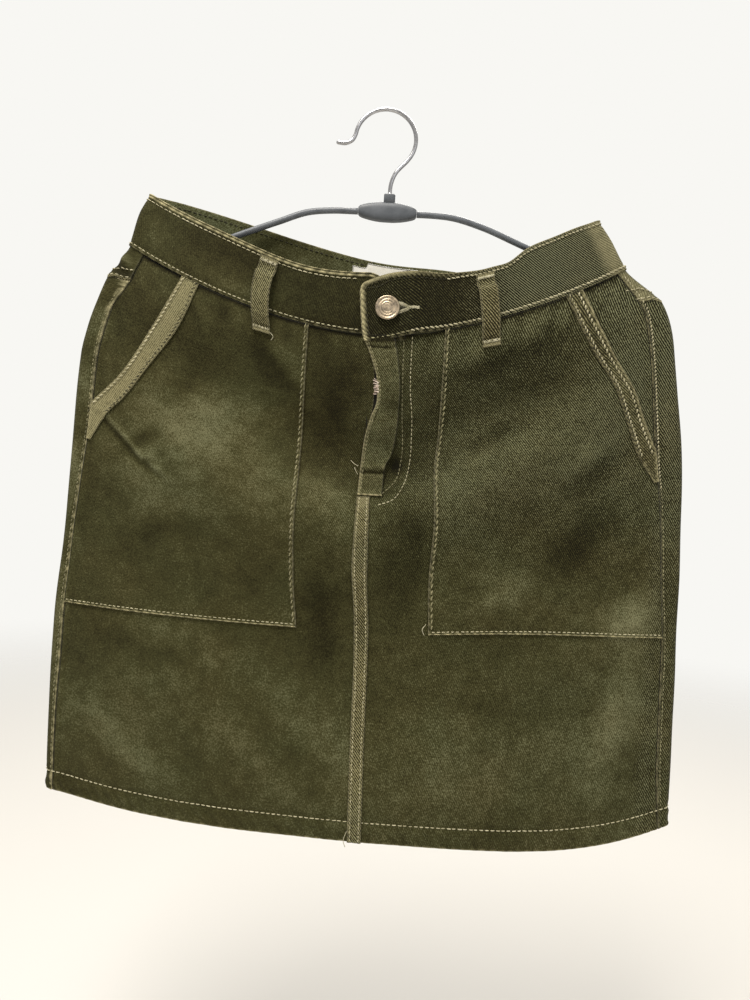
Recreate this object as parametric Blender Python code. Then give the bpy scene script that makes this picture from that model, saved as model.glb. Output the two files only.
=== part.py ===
"""Cargo utility skirt hanging on a wire hanger.

A mini skirt of heavy twill in its hung, nearly flat shape: two front panels with a
felled centre seam, a zip fly with a gaping placket, a buttoned waistband that laps
over itself, two large patch pockets with slanted, faced mouths, a back panel with a
yoke, and five belt loops. It hangs on the two arms of a coated wire hanger.

Every piece is a thin wall read from one surface, `skin`, which is a stack of girth
lines around the body. A point on it is named by its place across (x) or around (turn)
and by the girth line that it lies on (level). Lengths are millimetres until a mesh is
made. -Y is the front, +X is to the right as seen from the front, +Z is up, and the
origin is where the hanger's hook bears on what holds it. Left and right in names are as
seen from the front.
"""

import math
from typing import NamedTuple

import bmesh
import bpy
import numpy as np

MM = 0.001

# ---------------------------------------------------------------- driving dimensions

CLOTH = 1.2                 # wall of one layer of twill
BAND_OUT = 1.0              # waistband's outer face stands this far outside the panels
BAND_IN = -1.6              # and its inner face this far inside
SEAM_GAP = 0.3              # between two pieces that are sewn together
SIDE_GAP = 0.5              # the same along the bent side seams
LAY_GAP = 0.45              # between a panel and what is stitched on it
HEM_FOLD = 14.0             # height of the turned-up hem
HEM_WALL = 2.6              # wall where the hem is folded double
HEM_STEP = 0.6              # height over which the wall thickens into the hem

WAIST_LEVEL = 0.0           # girth line of the waistband's top edge
BAND_LEVEL = -35.0          # girth line of the seam under the waistband
HIP_LEVEL = -130.0          # girth line below which the side seams run nearly straight
HEM_LEVEL = -438.0          # girth line of the hem

WAIST_BELOW_HOOK = 74.1     # waistband's side corners below the hook's bearing point
WAIST_BESIDE_HOOK = 8.0     # the skirt's own middle line beside the hook

OVERLAP_EDGE = -0.031       # place across of the overlap's free edge (0 is mid front)
UNDERLAP_REACH = 14.0       # x where the underlap ends beneath the overlap
LAP_FROM = 46.0             # x where the overlap starts to climb over the underlap
LAP_TO = 19.0               # x where it has climbed
LAP_CORNER = 7.0            # radius of the overlap's top corner

BUTTON_AT = (0.6, -23.0)    # x and level of the shank button
BUTTON_RADIUS = 8.7
BUTTON_SIDES = 24

LOOP_WIDTH = 12.8           # belt loops
LOOP_STAND = 5.8            # room between a loop and the waistband
LOOP_CLOTH = 1.4

WIRE_RADIUS = 2.3           # coated wire of the hanger's arms
ARM_GAP = 0.65              # between an arm's end and the sloping fold that rests on it
ARM_END_DROP = 6.5          # fall from an arm's last listed point to its end
HOOK_WIRE_RADIUS = 1.5
HOOK_RADIUS = 22.4          # hook's bend, to the middle of its wire
HOOK_ARC = (-38, 172)       # where that bend starts and ends, in degrees from +X
STEM_X = 5.4                # x of the hook's stem and the neck that holds it
NECK_SIZE = (8.4, 6.4, 9.0)
NECK_RISE = 6.0             # how far the neck stands above the centre piece
NECK_BEVEL = 0.8
CENTRE_X = 4.4              # moulded centre piece of the hanger, its middle
CENTRE_LENGTH = 43.0
CENTRE_HEIGHT = 14.0
CENTRE_DEPTH = 9.0
CENTRE_BELOW_HOOK = 74.6    # its middle below the hook's bearing point

BACK_SKEW = 0.6             # share of the back edge's sag that leans to the right
BACK_SKEW_REACH = 160.0     # depth below the waist at which that lean has gone
SWAG_BEND = 18.0            # how softly a swag turns at its lowest point

FRONT_ROWS = (11, 22)       # steps of the mesh over the hips and down the skirt
BACK_ROWS = (9, 11)
FRONT_COLUMNS = 13
BACK_COLUMNS = 18
FOLD_COLUMNS = 4            # round one side fold
BAND_ROWS = 3


class Girth(NamedTuple):
    """One girth line of the hung skirt."""

    level: float        # height at the side folds, below the waist corners
    dip_front: float    # how far it sags at mid front
    dip_back: float     # and at mid back
    curve: float        # power of that sag across the width
    lean: float         # share of the front's sag that leans to the right
    tilt: float         # rise of the line at its right side, fall at its left
    left: float         # x of the left side fold
    right: float        # x of the right side fold
    front: float        # depth of the front from the middle plane
    back: float         # depth of the back
    fold: float         # radius of the side folds
    seam_left: float    # left side seam inside the left fold
    seam_right: float   # right side seam inside the right fold
    centre: float       # x of the centre-front seam


GIRTHS = (
    Girth(0, 49, 36, 2.45, -0.08, 0, -180.7, 153.7, 20, 9, 4.0, 12, 7, -16),
    Girth(-35, 57, 43, 2.0, 0, 2, -191.5, 174.5, 21, 9, 4.5, 12, 7, -15),
    Girth(-58, 53, 40, 2.0, 0, 1, -206.5, 203.8, 21, 9, 5.0, 16.5, 15.5, -14),
    Girth(-78, 48, 36, 2.1, 0, 0, -213.7, 211.6, 20, 9, 5.0, 13, 18.5, -12.5),
    Girth(-98, 42, 30, 2.15, 0, 0, -219.3, 215.0, 19, 9, 5.0, 13.5, 19, -11.5),
    Girth(-118, 36, 24, 2.2, 0, 0, -223.0, 218.0, 18.5, 9, 5.0, 14, 20, -10.5),
    Girth(-163, 24, 12, 2.4, 0, 0, -224.8, 223.4, 18, 9, 5.0, 14, 21, -9.5),
    Girth(-213, 12, 7, 2.6, 0, 0, -226.2, 226.2, 19, 9, 5.0, 10.5, 18, -9),
    Girth(-263, 7, 5, 2.8, 0, 0, -228.2, 227.7, 20, 9, 5.0, 8.5, 16, -8.5),
    Girth(-313, 7, 5, 3.0, 0, 0, -231.0, 228.1, 21, 9, 5.0, 8.5, 12.5, -4.5),
    Girth(-383, 12, 9, 3.3, 0.25, 0, -231.3, 229.1, 22, 9, 5.0, 7, 12.5, -2.5),
    Girth(-425, 16, 12, 3.45, 0.4, 0, -230.2, 229.6, 23, 9, 5.0, 6.5, 10, -1),
    Girth(-438, 17, 13, 3.5, 0.42, 0, -229.5, 230.5, 23, 9, 5.0, 6.5, 9.5, -0.5),
)


class Swag(NamedTuple):
    """A broad draped fold that hangs between the hips."""

    x: float            # its lowest point
    level: float
    rise_left: float    # how steeply it climbs to each side, mm per mm
    rise_right: float
    reach_left: float   # how far it runs to each side
    reach_right: float
    width: float        # half width of the ridge
    height: float       # how far it stands forward, or back if negative


FRONT_SWAGS = (
    Swag(-9, -228, 0.33, 0.70, 215, 200, 38, 5.0),
    Swag(-6, -166, 0.60, 0.72, 185, 170, 34, -3.6),
    Swag(-5, -408, 0.46, 0.30, 215, 110, 42, 2.2),
    Swag(20, -330, 0.30, 0.55, 120, 215, 48, -1.8),
)
BACK_SWAGS = (
    Swag(6, -250, 0.45, 0.40, 200, 200, 44, 2.4),
    Swag(0, -180, 0.50, 0.46, 190, 190, 40, -1.6),
    Swag(-14, -350, 0.30, 0.34, 190, 200, 50, 1.6),
)


class Edge(NamedTuple):
    """A point of a cut or folded edge on the front."""

    level: float
    x: float


LEFT_MOUTH = (Edge(-35, -147.5), Edge(-82, -169.5), Edge(-122, -189), Edge(-150, -210))
LEFT_FACING = (
    Edge(-35, -134.5), Edge(-68, -146.7), Edge(-103, -165.3),
    Edge(-139, -184.8), Edge(-155, -197), Edge(-178, -208.6),
)
LEFT_POCKET = (
    Edge(-35, -54.4), Edge(-133, -55), Edge(-219, -55.6), Edge(-264, -54.3), Edge(-300, -50.6),
)
RIGHT_MOUTH = (
    Edge(-35, 140), Edge(-55, 153), Edge(-89, 170.5),
    Edge(-115, 184), Edge(-134, 190.6), Edge(-161, 202),
)
RIGHT_FACING = (
    Edge(-35, 127.2), Edge(-52, 138.5), Edge(-81, 154.4), Edge(-104, 166.1),
    Edge(-131, 176.2), Edge(-163, 188.2), Edge(-184, 201),
)
RIGHT_POCKET = (
    Edge(-35, 42.6), Edge(-131, 42.5), Edge(-165, 40.8),
    Edge(-224, 42), Edge(-258, 41.4), Edge(-300, 43.5),
)
FACING_WALL = 1.0
POCKET_BOTTOM = -300.0
POCKET_BOW = {"left": 1.0, "right": 3.5}    # rise of a pocket's bottom edge at its middle

FLY_TOP = BAND_LEVEL - SEAM_GAP - 0.6
ZIP_END = -130.0             # level where the zip tape goes under the panels
FLY_END = -195.0             # level where the placket ends
TAPE_WALL = 1.0
PLACKET_WALL = 1.4
PLACKET_OVER_TAPE = 1.3      # how far the placket clears the zip tape
PLACKET_ARCH = 1.4           # how far its middle bows out
FLY_FADE = (20.0, 25.0)      # heights over which the clearance and the arch die out
PLACKET_STAND = (            # level, how far its free right edge stands off
    (-195, 0), (-185, 0.6), (-165, 2.4), (-145, 1.0), (-110, 1.8), (-70, 1.8), (-45, 0.8), (-36, 0),
)
PLACKET_LEFT = (
    Edge(-38, -14.8), Edge(-55, -9.1), Edge(-79, -3.7), Edge(-98, -2.9), Edge(-120, -7),
    Edge(-141, -10.4), Edge(-161, -11.7), Edge(-195, -13),
)
PLACKET_RIGHT = (
    Edge(-38, 7.4), Edge(-63, 11.2), Edge(-90, 13.1), Edge(-119, 12.9), Edge(-150, 10.7),
    Edge(-167, 5.8), Edge(-195, 4.8),
)
TAPE_LEFT = (Edge(-38, -15.6), Edge(-130, -12.4))
TAPE_RIGHT = (Edge(-38, -2.2), Edge(-130, 1.0))
FELL_TOP = -196.0            # felled strip of the centre-front seam, below the placket
FELL_WALL = 1.0
FELL_LEFT = (
    Edge(-197, -13.2), Edge(-250, -13.7), Edge(-290, -10.1), Edge(-330, -8.2),
    Edge(-373, -7.5), Edge(-410, -6.4), Edge(-438, -5.5),
)
FELL_RIGHT = (
    Edge(-197, -3.8), Edge(-260, -2.4), Edge(-300, 0.9), Edge(-329, 1.7),
    Edge(-372, 2.4), Edge(-409, 3.5), Edge(-438, 4.3),
)


class Loop(NamedTuple):
    """One belt loop, by the x of its middle line on three girth lines."""

    name: str
    side: str
    top: float
    middle: float
    bottom: float
    seat: float         # what its lower end lies on, outside the panel


LOOPS = (
    Loop("belt_loop_front_left", "front", -84.8, -88.9, -87.4, 1.5),
    Loop("belt_loop_front_right", "front", 68.4, 72.4, 76.0, 1.5),
    Loop("belt_loop_back_left", "back", -104.0, -106.0, -108.0, 0.0),
    Loop("belt_loop_back_centre", "back", -12.5, -12.0, -11.5, 0.0),
    Loop("belt_loop_back_right", "back", 80.0, 84.0, 88.0, 0.0),
)
LOOP_TOP, LOOP_BOTTOM = -1.6, -52.5      # levels of a loop's ends
LOOP_PAST_BAND = 3.0                     # how far below the waistband a loop turns inwards
LOOP_PROFILE = (             # share of the loop's length, gap under it, its thickness
    (0.00, 0.3, 2.6), (0.11, 0.3, 2.6), (0.15, 1.2, 1.9), (0.25, LOOP_STAND, LOOP_CLOTH),
    (0.50, LOOP_STAND + 0.3, LOOP_CLOTH), (0.66, LOOP_STAND - 0.3, LOOP_CLOTH),
    (0.84, 1.6, 1.9), (0.88, 0.3, 2.6), (1.00, 0.3, 2.6),
)

YOKE_LINE = (                # turn around the body, level of the yoke's lower edge
    (0.94, -47.0), (1.0, -53.0), (1.5, -58.0), (2.0, -62.0), (2.25, -72.0), (2.5, -84.0),
    (2.75, -74.0), (3.0, -64.0), (3.5, -61.0), (4.0, -57.0), (4.05, -50.0),
)

LABEL_LEFT, LABEL_RIGHT = -27.0, 24.0
LABEL_STEP = 10.0            # width of the label's tucked end
LABEL_TOP, LABEL_TUCK, LABEL_BOTTOM = -2.5, -5.5, -27.0
LABEL_WALL = 1.0
LABEL_CREASE = 1.0           # width of the slope between the label's two heights

BUTTON_PROFILE = (           # radius as a share of the button's, height: foot, rim, ring, dome
    (0, 0.0), (0.48, 0.0), (0.48, 1.5), (0.94, 1.5), (1.0, 2.0), (1.0, 2.9), (0.92, 3.6),
    (0.80, 3.7), (0.74, 3.2), (0.49, 3.2), (0.45, 3.7), (0.36, 3.8), (0, 4.0),
)

ARM_LEFT = (                 # x and height of the wire's middle, from the centre piece outwards
    (-25.4, 212.1), (-44.5, 211.6), (-61.4, 209.4), (-83.4, 201.0), (-105.5, 192.0),
    (-140.0, 177.0), (-175.0, 159.5), (-196.0, 148.0),
)
ARM_RIGHT = (
    (18.2, 212.1), (28.4, 212.2), (43.5, 211.4), (66.5, 205.7), (93.3, 195.4),
    (130.0, 180.5), (165.0, 165.0), (187.0, 155.0),
)
ARM_HEIGHT_OF_WAIST = 213.0  # the waist corners on the same height scale

HOOK_STEM = ((0.0, 0.0), (0.3, 7.0), (2.6, 14.5))                # x and height from the neck's top
HOOK_TIP = ((-2.6, -5.0), (-7.2, -7.4), (-12.6, -7.2))           # the same from the bend's end
CENTRE_SECTIONS = (          # place along the centre piece's half length, share of its full section
    (-1.0, 0.34), (-0.95, 0.52), (-0.75, 0.74), (-0.45, 0.92), (-0.15, 1.0),
    (0.15, 1.0), (0.45, 0.92), (0.75, 0.74), (0.95, 0.52), (1.0, 0.34),
)

# ------------------------------------------------------------------ the base surface


def smooth(places, values, at):
    """Values at `at`, on a monotone cubic through (places, values)."""
    order = np.argsort(places)
    x = np.asarray(places, float)[order]
    y = np.asarray(values, float)[order]
    step = np.diff(x)
    rate = np.diff(y) / step
    slope = np.concatenate(([rate[0]], np.zeros(len(x) - 2), [rate[-1]]))
    for i in range(1, len(x) - 1):
        if rate[i - 1] * rate[i] > 0:
            slope[i] = 2 * rate[i - 1] * rate[i] / (rate[i - 1] + rate[i])
    at = np.clip(at, x[0], x[-1])
    i = np.clip(np.searchsorted(x, at) - 1, 0, len(x) - 2)
    u = (at - x[i]) / step[i]
    rise = u * (1 - u) ** 2 * step[i] * slope[i] - u * u * (1 - u) * step[i] * slope[i + 1]
    return (1 + 2 * u) * (1 - u) ** 2 * y[i] + u * u * (3 - 2 * u) * y[i + 1] + rise


def girth(column, level):
    """A column of the girth table at any level."""
    return smooth([g.level for g in GIRTHS], [getattr(g, column) for g in GIRTHS], level)


def edge_x(edge, level):
    """x of an edge at a level."""
    return smooth([p.level for p in edge], [p.x for p in edge], level)


def middle(level):
    return (girth("left", level) + girth("right", level)) / 2


def half_width(level):
    return (girth("right", level) - girth("left", level)) / 2


def flat_half(level):
    """Half the width between the side folds' own centres."""
    return half_width(level) - girth("fold", level)


def crown(s):
    """How full the body is at a place across: 1 in the middle, 0 with no slope at the folds."""
    return (1 - np.clip(np.abs(s), 0, 1) ** 4) ** 1.5


def swag_push(swags, x, level):
    """How far the draped folds move the cloth out at a point."""
    push = np.zeros(np.broadcast(x, level).shape)
    for swag in swags:
        across = x - swag.x
        right = across > 0
        climb = np.where(right, swag.rise_right, swag.rise_left)
        reach = np.where(right, swag.reach_right, swag.reach_left)
        bend = np.sqrt(across ** 2 + SWAG_BEND ** 2) - SWAG_BEND
        line = swag.level + climb * bend
        fade = np.clip(1 - (across / reach) ** 2, 0, 1)
        push = push + swag.height * fade * np.exp(-(((level - line) / swag.width) ** 2))
    return push


def height_of(x, level, at_back):
    """Z of the surface below the waist corners, at x on a girth line."""
    s = np.clip((x - middle(level)) / half_width(level), -1, 1)
    sag = 1 - np.abs(s) ** girth("curve", level)
    front = girth("dip_front", level) * (1 + girth("lean", level) * s)
    back = girth("dip_back", level) * (1 + BACK_SKEW * s * np.clip(1 + level / BACK_SKEW_REACH, 0, 1))
    dip = np.where(at_back, back, front)
    return level - dip * sag + girth("tilt", level) * s


def skin(turn, level):
    """Point of the base surface, as x, y and z arrays.

    turn runs 0 to 1 across the front, 1 to 2 round the right fold, 2 to 3 back across
    the back and 3 to 4 round the left fold.
    """
    turn, level = np.broadcast_arrays(np.asarray(turn, float), np.asarray(level, float))
    turn = (turn + 4.0) % 4
    mid, flat, fold = middle(level), flat_half(level), girth("fold", level)
    part = np.floor(turn)
    along = turn - part
    s = np.where(part == 0, 2 * along - 1, 1 - 2 * along)
    across = mid + flat * s
    rest = crown(s)
    front = fold + (girth("front", level) - fold + swag_push(FRONT_SWAGS, across, level)) * rest
    back = fold + (girth("back", level) - fold + swag_push(BACK_SWAGS, across, level)) * rest
    angle = np.where(part == 1, along - 0.5, along + 0.5) * math.pi
    side = np.where(part == 1, mid + flat, mid - flat)
    is_fold = (part == 1) | (part == 3)
    x = np.where(is_fold, side + fold * np.cos(angle), across)
    y = np.where(is_fold, fold * np.sin(angle), np.where(part == 0, -front, back))
    at_back = y > 0
    return np.stack([x, y, height_of(x, level, at_back)], -1)


def outward(turn, level):
    """Unit normal of the base surface, pointing out of the skirt."""
    small_turn, small_level = 0.002, 0.5
    around = skin(turn + small_turn, level) - skin(turn - small_turn, level)
    down = skin(turn, level - small_level) - skin(turn, level + small_level)
    normal = np.cross(down, around)
    return normal / np.linalg.norm(normal, axis=-1, keepdims=True)


def front_turn(x, level):
    """turn of a point on the front."""
    return ((x - middle(level)) / flat_half(level) + 1) / 2


def back_turn(x, level):
    """turn of a point on the back."""
    return 2 + (1 - (x - middle(level)) / flat_half(level)) / 2


def seam_turn(side, level, gap=0.0):
    """turn of a side seam, moved by gap mm towards mid front."""
    if side == "left":
        return front_turn(girth("left", level) + girth("seam_left", level) + gap, level)
    return front_turn(girth("right", level) - girth("seam_right", level) - gap, level)


# --------------------------------------------------------------------- making meshes


def material(name, colour, roughness, metallic=0.0):
    """A Principled material with a plain colour, given as linear red, green and blue."""
    made = bpy.data.materials.new(name)
    made.use_nodes = True
    shader = made.node_tree.nodes["Principled BSDF"]
    shader.inputs["Base Color"].default_value = (*colour, 1.0)
    shader.inputs["Roughness"].default_value = roughness
    shader.inputs["Metallic"].default_value = metallic
    return made


TWILL = (0.062, 0.064, 0.034)
WORN_TWILL = (0.135, 0.130, 0.075)
STEEL = (0.62, 0.62, 0.63)
BRASS = (0.52, 0.45, 0.33)
GREY_VINYL = (0.16, 0.17, 0.18)
LABEL_WHITE = (0.80, 0.79, 0.74)


def place(points):
    """Points in the skirt's millimetres as points in metres from the hook."""
    moved = np.asarray(points, float) + (WAIST_BESIDE_HOOK, 0.0, -WAIST_BELOW_HOOK)
    return moved * MM


def add_object(name, bm, finish):
    """Puts a bmesh in the scene as a smooth-shaded object."""
    bmesh.ops.recalc_face_normals(bm, faces=bm.faces)
    mesh = bpy.data.meshes.new(name)
    bm.to_mesh(mesh)
    bm.free()
    mesh.materials.append(finish)
    mesh.shade_smooth()
    mesh.set_sharp_from_angle(angle=math.radians(40))
    made = bpy.data.objects.new(name, mesh)
    bpy.context.scene.collection.objects.link(made)
    return made


def falling_diagonals(turns, levels, base):
    """Where a cell is truer to the surface if split from its first corner to the opposite one."""
    cell_turns = (turns[:-1, :-1] + turns[1:, 1:] + turns[:-1, 1:] + turns[1:, :-1]) / 4
    cell_levels = (levels[:-1, :-1] + levels[1:, 1:] + levels[:-1, 1:] + levels[1:, :-1]) / 4
    true = skin(cell_turns, cell_levels)
    falling = np.linalg.norm((base[:-1, :-1] + base[1:, 1:]) / 2 - true, axis=-1)
    rising = np.linalg.norm((base[:-1, 1:] + base[1:, :-1]) / 2 - true, axis=-1)
    return falling <= rising


def wall(name, turns, levels, inner, outer, finish):
    """A closed cloth wall over a grid of places on the base surface.

    inner and outer are how far its two faces lie outside that surface, each a number or
    a grid of numbers.
    """
    turns, levels = np.broadcast_arrays(turns, levels)
    base, normal = skin(turns, levels), outward(turns, levels)
    lifts = [np.broadcast_to(lift, turns.shape)[..., None] for lift in (outer, inner)]
    faces = [place(base + normal * lift) for lift in lifts]
    rows, columns = turns.shape
    bm = bmesh.new()
    grid = [[[bm.verts.new(face[i, j]) for j in range(columns)] for i in range(rows)] for face in faces]
    out, back = grid
    falling = falling_diagonals(turns, levels, base)
    for i in range(rows - 1):
        for j in range(columns - 1):
            for face in grid:
                corners = (face[i][j], face[i + 1][j], face[i + 1][j + 1], face[i][j + 1])
                first = 0 if falling[i, j] else 1
                for k in (first, first + 2):
                    bm.faces.new((corners[k], corners[(k + 1) % 4], corners[(k + 2) % 4]))
    rim = [(i, 0) for i in range(rows)] + [(rows - 1, j) for j in range(1, columns)]
    rim += [(i, columns - 1) for i in range(rows - 2, -1, -1)] + [(0, j) for j in range(columns - 2, 0, -1)]
    for (i, j), (k, m) in zip(rim, rim[1:] + rim[:1]):
        bm.faces.new((out[k][m], out[i][j], back[i][j], back[k][m]))
    return add_object(name, bm, finish)


def spaced(*stretches):
    """Values along stretches given as (start, end, steps), each starting where the last ended."""
    values = [stretches[0][0]]
    for start, end, steps in stretches:
        values.extend(start + (end - start) * i / steps for i in range(1, steps + 1))
    return np.array(values)


def strip(name, levels, left, right, columns, inner, outer, finish, bow=0.0):
    """A wall on the front between two edges, which are functions of the level.

    bow is how far the middle of its lower edge is raised.
    """
    level = np.asarray(levels, float)[:, None]
    across = np.linspace(0, 1, columns + 1)[None, :]
    x = left(level) * (1 - across) + right(level) * across
    down = (level - level[0]) / (level[-1] - level[0])
    level = level + bow * down ** 3 * np.sin(math.pi * across)
    return wall(name, front_turn(x, level), level, inner, outer, finish)


# -------------------------------------------------------------------------- the cloth


def panel_levels(top, hip_steps, skirt_steps):
    """Levels from a top edge to the hem: close over the hips, and a close pair at the hem's fold."""
    fold = HEM_LEVEL + HEM_FOLD
    inside = fold - HEM_STEP
    hips, skirt = (top, HIP_LEVEL, hip_steps), (HIP_LEVEL, fold, skirt_steps)
    return spaced(hips, skirt, (fold, inside, 1), (inside, HEM_LEVEL, 1))


def hem_inner(levels):
    """Inner face of a panel: one layer of cloth, two in the hem."""
    return np.where(np.asarray(levels) < HEM_LEVEL + HEM_FOLD - HEM_STEP / 2, -HEM_WALL, -CLOTH)


def make_front_panels(finish):
    levels = panel_levels(BAND_LEVEL - SEAM_GAP, *FRONT_ROWS)
    inner = hem_inner(levels)[:, None]
    half = SEAM_GAP / 2

    def left_seam(level):
        return girth("left", level) + girth("seam_left", level) + SIDE_GAP / 2

    def right_seam(level):
        return girth("right", level) - girth("seam_right", level) - SIDE_GAP / 2

    def centre_left(level):
        return girth("centre", level) - half

    def centre_right(level):
        return girth("centre", level) + half

    strip("front_panel_left", levels, left_seam, centre_left, FRONT_COLUMNS, inner, 0.0, finish)
    strip("front_panel_right", levels, centre_right, right_seam, FRONT_COLUMNS, inner, 0.0, finish)


def round_back(levels):
    """Turns of a grid that goes from the right side seam round the back to the left one."""
    right = seam_turn("right", levels, -SIDE_GAP / 2)
    left = 4 + seam_turn("left", levels, -SIDE_GAP / 2)
    turns = spaced((1.0, 2.0, FOLD_COLUMNS), (2.0, 3.0, BACK_COLUMNS), (3.0, 4.0, FOLD_COLUMNS))
    columns = [right, (right + 1) / 2] + [t + 0 * levels for t in turns] + [(left + 4) / 2, left]
    return np.concatenate(columns, axis=1)


def yoke_level(turns):
    return smooth([t for t, _ in YOKE_LINE], [level for _, level in YOKE_LINE], turns)


def make_back(finish):
    """The yoke and the back panel, which both reach round the side folds."""
    side_level = YOKE_LINE[1][1]
    line = yoke_level(round_back(np.array([[side_level]])))
    depth = np.linspace(0, 1, BAND_ROWS + 1)[:, None]
    top = BAND_LEVEL - SEAM_GAP
    yoke = top + (line + SEAM_GAP / 2 - top) * depth
    wall("back_yoke", seam_following(yoke), yoke, -CLOTH, 0.0, finish)

    starts = (line - SEAM_GAP / 2)[0]
    body = np.stack([panel_levels(start, *BACK_ROWS) for start in starts], axis=1)
    wall("back_panel", seam_following(body), body, hem_inner(body), 0.0, finish)


def seam_following(levels):
    """round_back for a grid whose rows aren't level."""
    columns = levels.shape[1]
    return np.stack([round_back(levels[:, j:j + 1])[:, j] for j in range(columns)], axis=1)


def make_waistband(finish):
    """Underlap, overlap and both back halves of the band, seamed at the folds and mid back."""
    levels = np.linspace(WAIST_LEVEL, BAND_LEVEL, BAND_ROWS + 1)[:, None]
    half_gap = SEAM_GAP / 2
    fold_gap = half_gap / (math.pi * GIRTHS[0].fold)
    left_fold, right_fold = -0.5, 1.5

    underlap_end = front_turn(UNDERLAP_REACH, BAND_LEVEL)
    turns = spaced((left_fold + fold_gap, 0.0, FOLD_COLUMNS - 1), (0.0, underlap_end, 12))[None, :]
    wall("waistband_underlap", turns + 0 * levels, levels + 0 * turns, BAND_IN, BAND_OUT, finish)

    edge = (OVERLAP_EDGE + 1) / 2
    corner = front_turn(LAP_CORNER, WAIST_LEVEL) - front_turn(0.0, WAIST_LEVEL) + edge
    lapped = front_turn(LAP_FROM, WAIST_LEVEL)
    turns = spaced((edge, corner, 4), (corner, lapped, 6), (lapped, 1.0, 8),
                   (1.0, right_fold - fold_gap, FOLD_COLUMNS - 1))[None, :]
    x = skin(turns, levels)[..., 0]
    climb = np.clip((LAP_FROM - x) / (LAP_FROM - LAP_TO), 0, 1)
    lift = (BAND_OUT - BAND_IN + SEAM_GAP) * climb * climb * (3 - 2 * climb)
    from_edge = np.clip(x[0] - x[0, 0], 0, LAP_CORNER)
    cut = LAP_CORNER - np.sqrt(LAP_CORNER ** 2 - (LAP_CORNER - from_edge) ** 2)
    cut_levels = levels - cut[None, :] * (1 - levels / BAND_LEVEL)
    wall("waistband_overlap", turns + 0 * levels, cut_levels, BAND_IN + lift, BAND_OUT + lift, finish)

    back_gap = half_gap / (2 * flat_half(WAIST_LEVEL))
    right = ((right_fold + fold_gap, 2.0, FOLD_COLUMNS - 1), (2.0, 2.5 - back_gap, 10))
    left = ((2.5 + back_gap, 3.0, 10), (3.0, 4.0 + left_fold - fold_gap, FOLD_COLUMNS - 1))
    for name, stretches in (("waistband_back_right", right), ("waistband_back_left", left)):
        turns = spaced(*stretches)[None, :]
        wall(name, turns + 0 * levels, levels + 0 * turns, BAND_IN, BAND_OUT, finish)


def make_pocket(side, mouth, facing, inner_edge, finish, facing_finish):
    """A patch pocket and the faced edge of its slanted mouth."""
    mouth_end = mouth[-1].level
    facing_end = facing[-1].level

    def outer(level):
        seam = girth(side, level)
        inset = girth("seam_" + side, level)
        seam = seam + inset if side == "left" else seam - inset
        return np.where(level > mouth_end, edge_x(mouth, level), seam)

    def inner(level):
        return edge_x(inner_edge, level)

    def facing_inner(level):
        return edge_x(facing, level)

    top = BAND_LEVEL - SEAM_GAP
    edges = (outer, inner) if side == "left" else (inner, outer)
    levels = spaced((top, mouth_end, 9), (mouth_end, POCKET_BOTTOM, 11))
    strip("pocket_" + side, levels, *edges, 10, LAY_GAP, LAY_GAP + CLOTH, finish, POCKET_BOW[side])

    edges = (outer, facing_inner) if side == "left" else (facing_inner, outer)
    levels = spaced((top, mouth_end, 9), (mouth_end, facing_end, 3))
    bottom = 2 * LAY_GAP + CLOTH
    strip("pocket_facing_" + side, levels, *edges, 2, bottom, bottom + FACING_WALL, facing_finish)


def make_fly(cloth, worn, tape):
    """The gaping placket, the zip tape that it bares, and the felled seam below."""

    def between(edge):
        return lambda level: edge_x(edge, level)

    levels = spaced((FLY_TOP, ZIP_END, 8))
    sides = between(TAPE_LEFT), between(TAPE_RIGHT)
    strip("zip_tape", levels, *sides, 2, LAY_GAP, LAY_GAP + TAPE_WALL, tape)

    levels = spaced((FLY_TOP, ZIP_END, 9), (ZIP_END, FLY_END, 7))
    across = np.linspace(0, 1, 5)[None, :]
    row = levels[:, None]
    tape_fade, arch_fade = FLY_FADE
    over_tape = PLACKET_OVER_TAPE * np.clip((row - ZIP_END) / tape_fade + 1, 0, 1)
    arch = PLACKET_ARCH * np.sin(math.pi * across) * np.clip((row - FLY_END) / arch_fade, 0, 1)
    stand = smooth([level for level, _ in PLACKET_STAND], [off for _, off in PLACKET_STAND], row)
    under = LAY_GAP + over_tape + arch + stand * across ** 2
    sides = between(PLACKET_LEFT), between(PLACKET_RIGHT)
    strip("fly_placket", levels, *sides, 4, under, under + PLACKET_WALL, cloth)

    levels = spaced((FELL_TOP, HEM_LEVEL, 18))
    sides = between(FELL_LEFT), between(FELL_RIGHT)
    strip("centre_front_seam", levels, *sides, 2, LAY_GAP, LAY_GAP + FELL_WALL, worn)


def make_belt_loop(loop, finish):
    """A strip tacked down at both ends and standing off the waistband between them."""
    along = np.array([p[0] for p in LOOP_PROFILE])
    stand = np.array([p[1] for p in LOOP_PROFILE])
    thick = np.array([p[2] for p in LOOP_PROFILE])
    levels = (LOOP_TOP + (LOOP_BOTTOM - LOOP_TOP) * along)[:, None]
    x = smooth((0.0, 0.5, 1.0), (loop.top, loop.middle, loop.bottom), along)[:, None]
    x = x + np.array([-0.5, 0.0, 0.5])[None, :] * LOOP_WIDTH
    turn_of = front_turn if loop.side == "front" else back_turn
    seat = np.where(levels > BAND_LEVEL - LOOP_PAST_BAND, BAND_OUT, loop.seat)
    under = seat + stand[:, None] + 0 * x
    wall(loop.name, turn_of(x, levels), levels + 0 * x, under, under + thick[:, None], finish)


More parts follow.
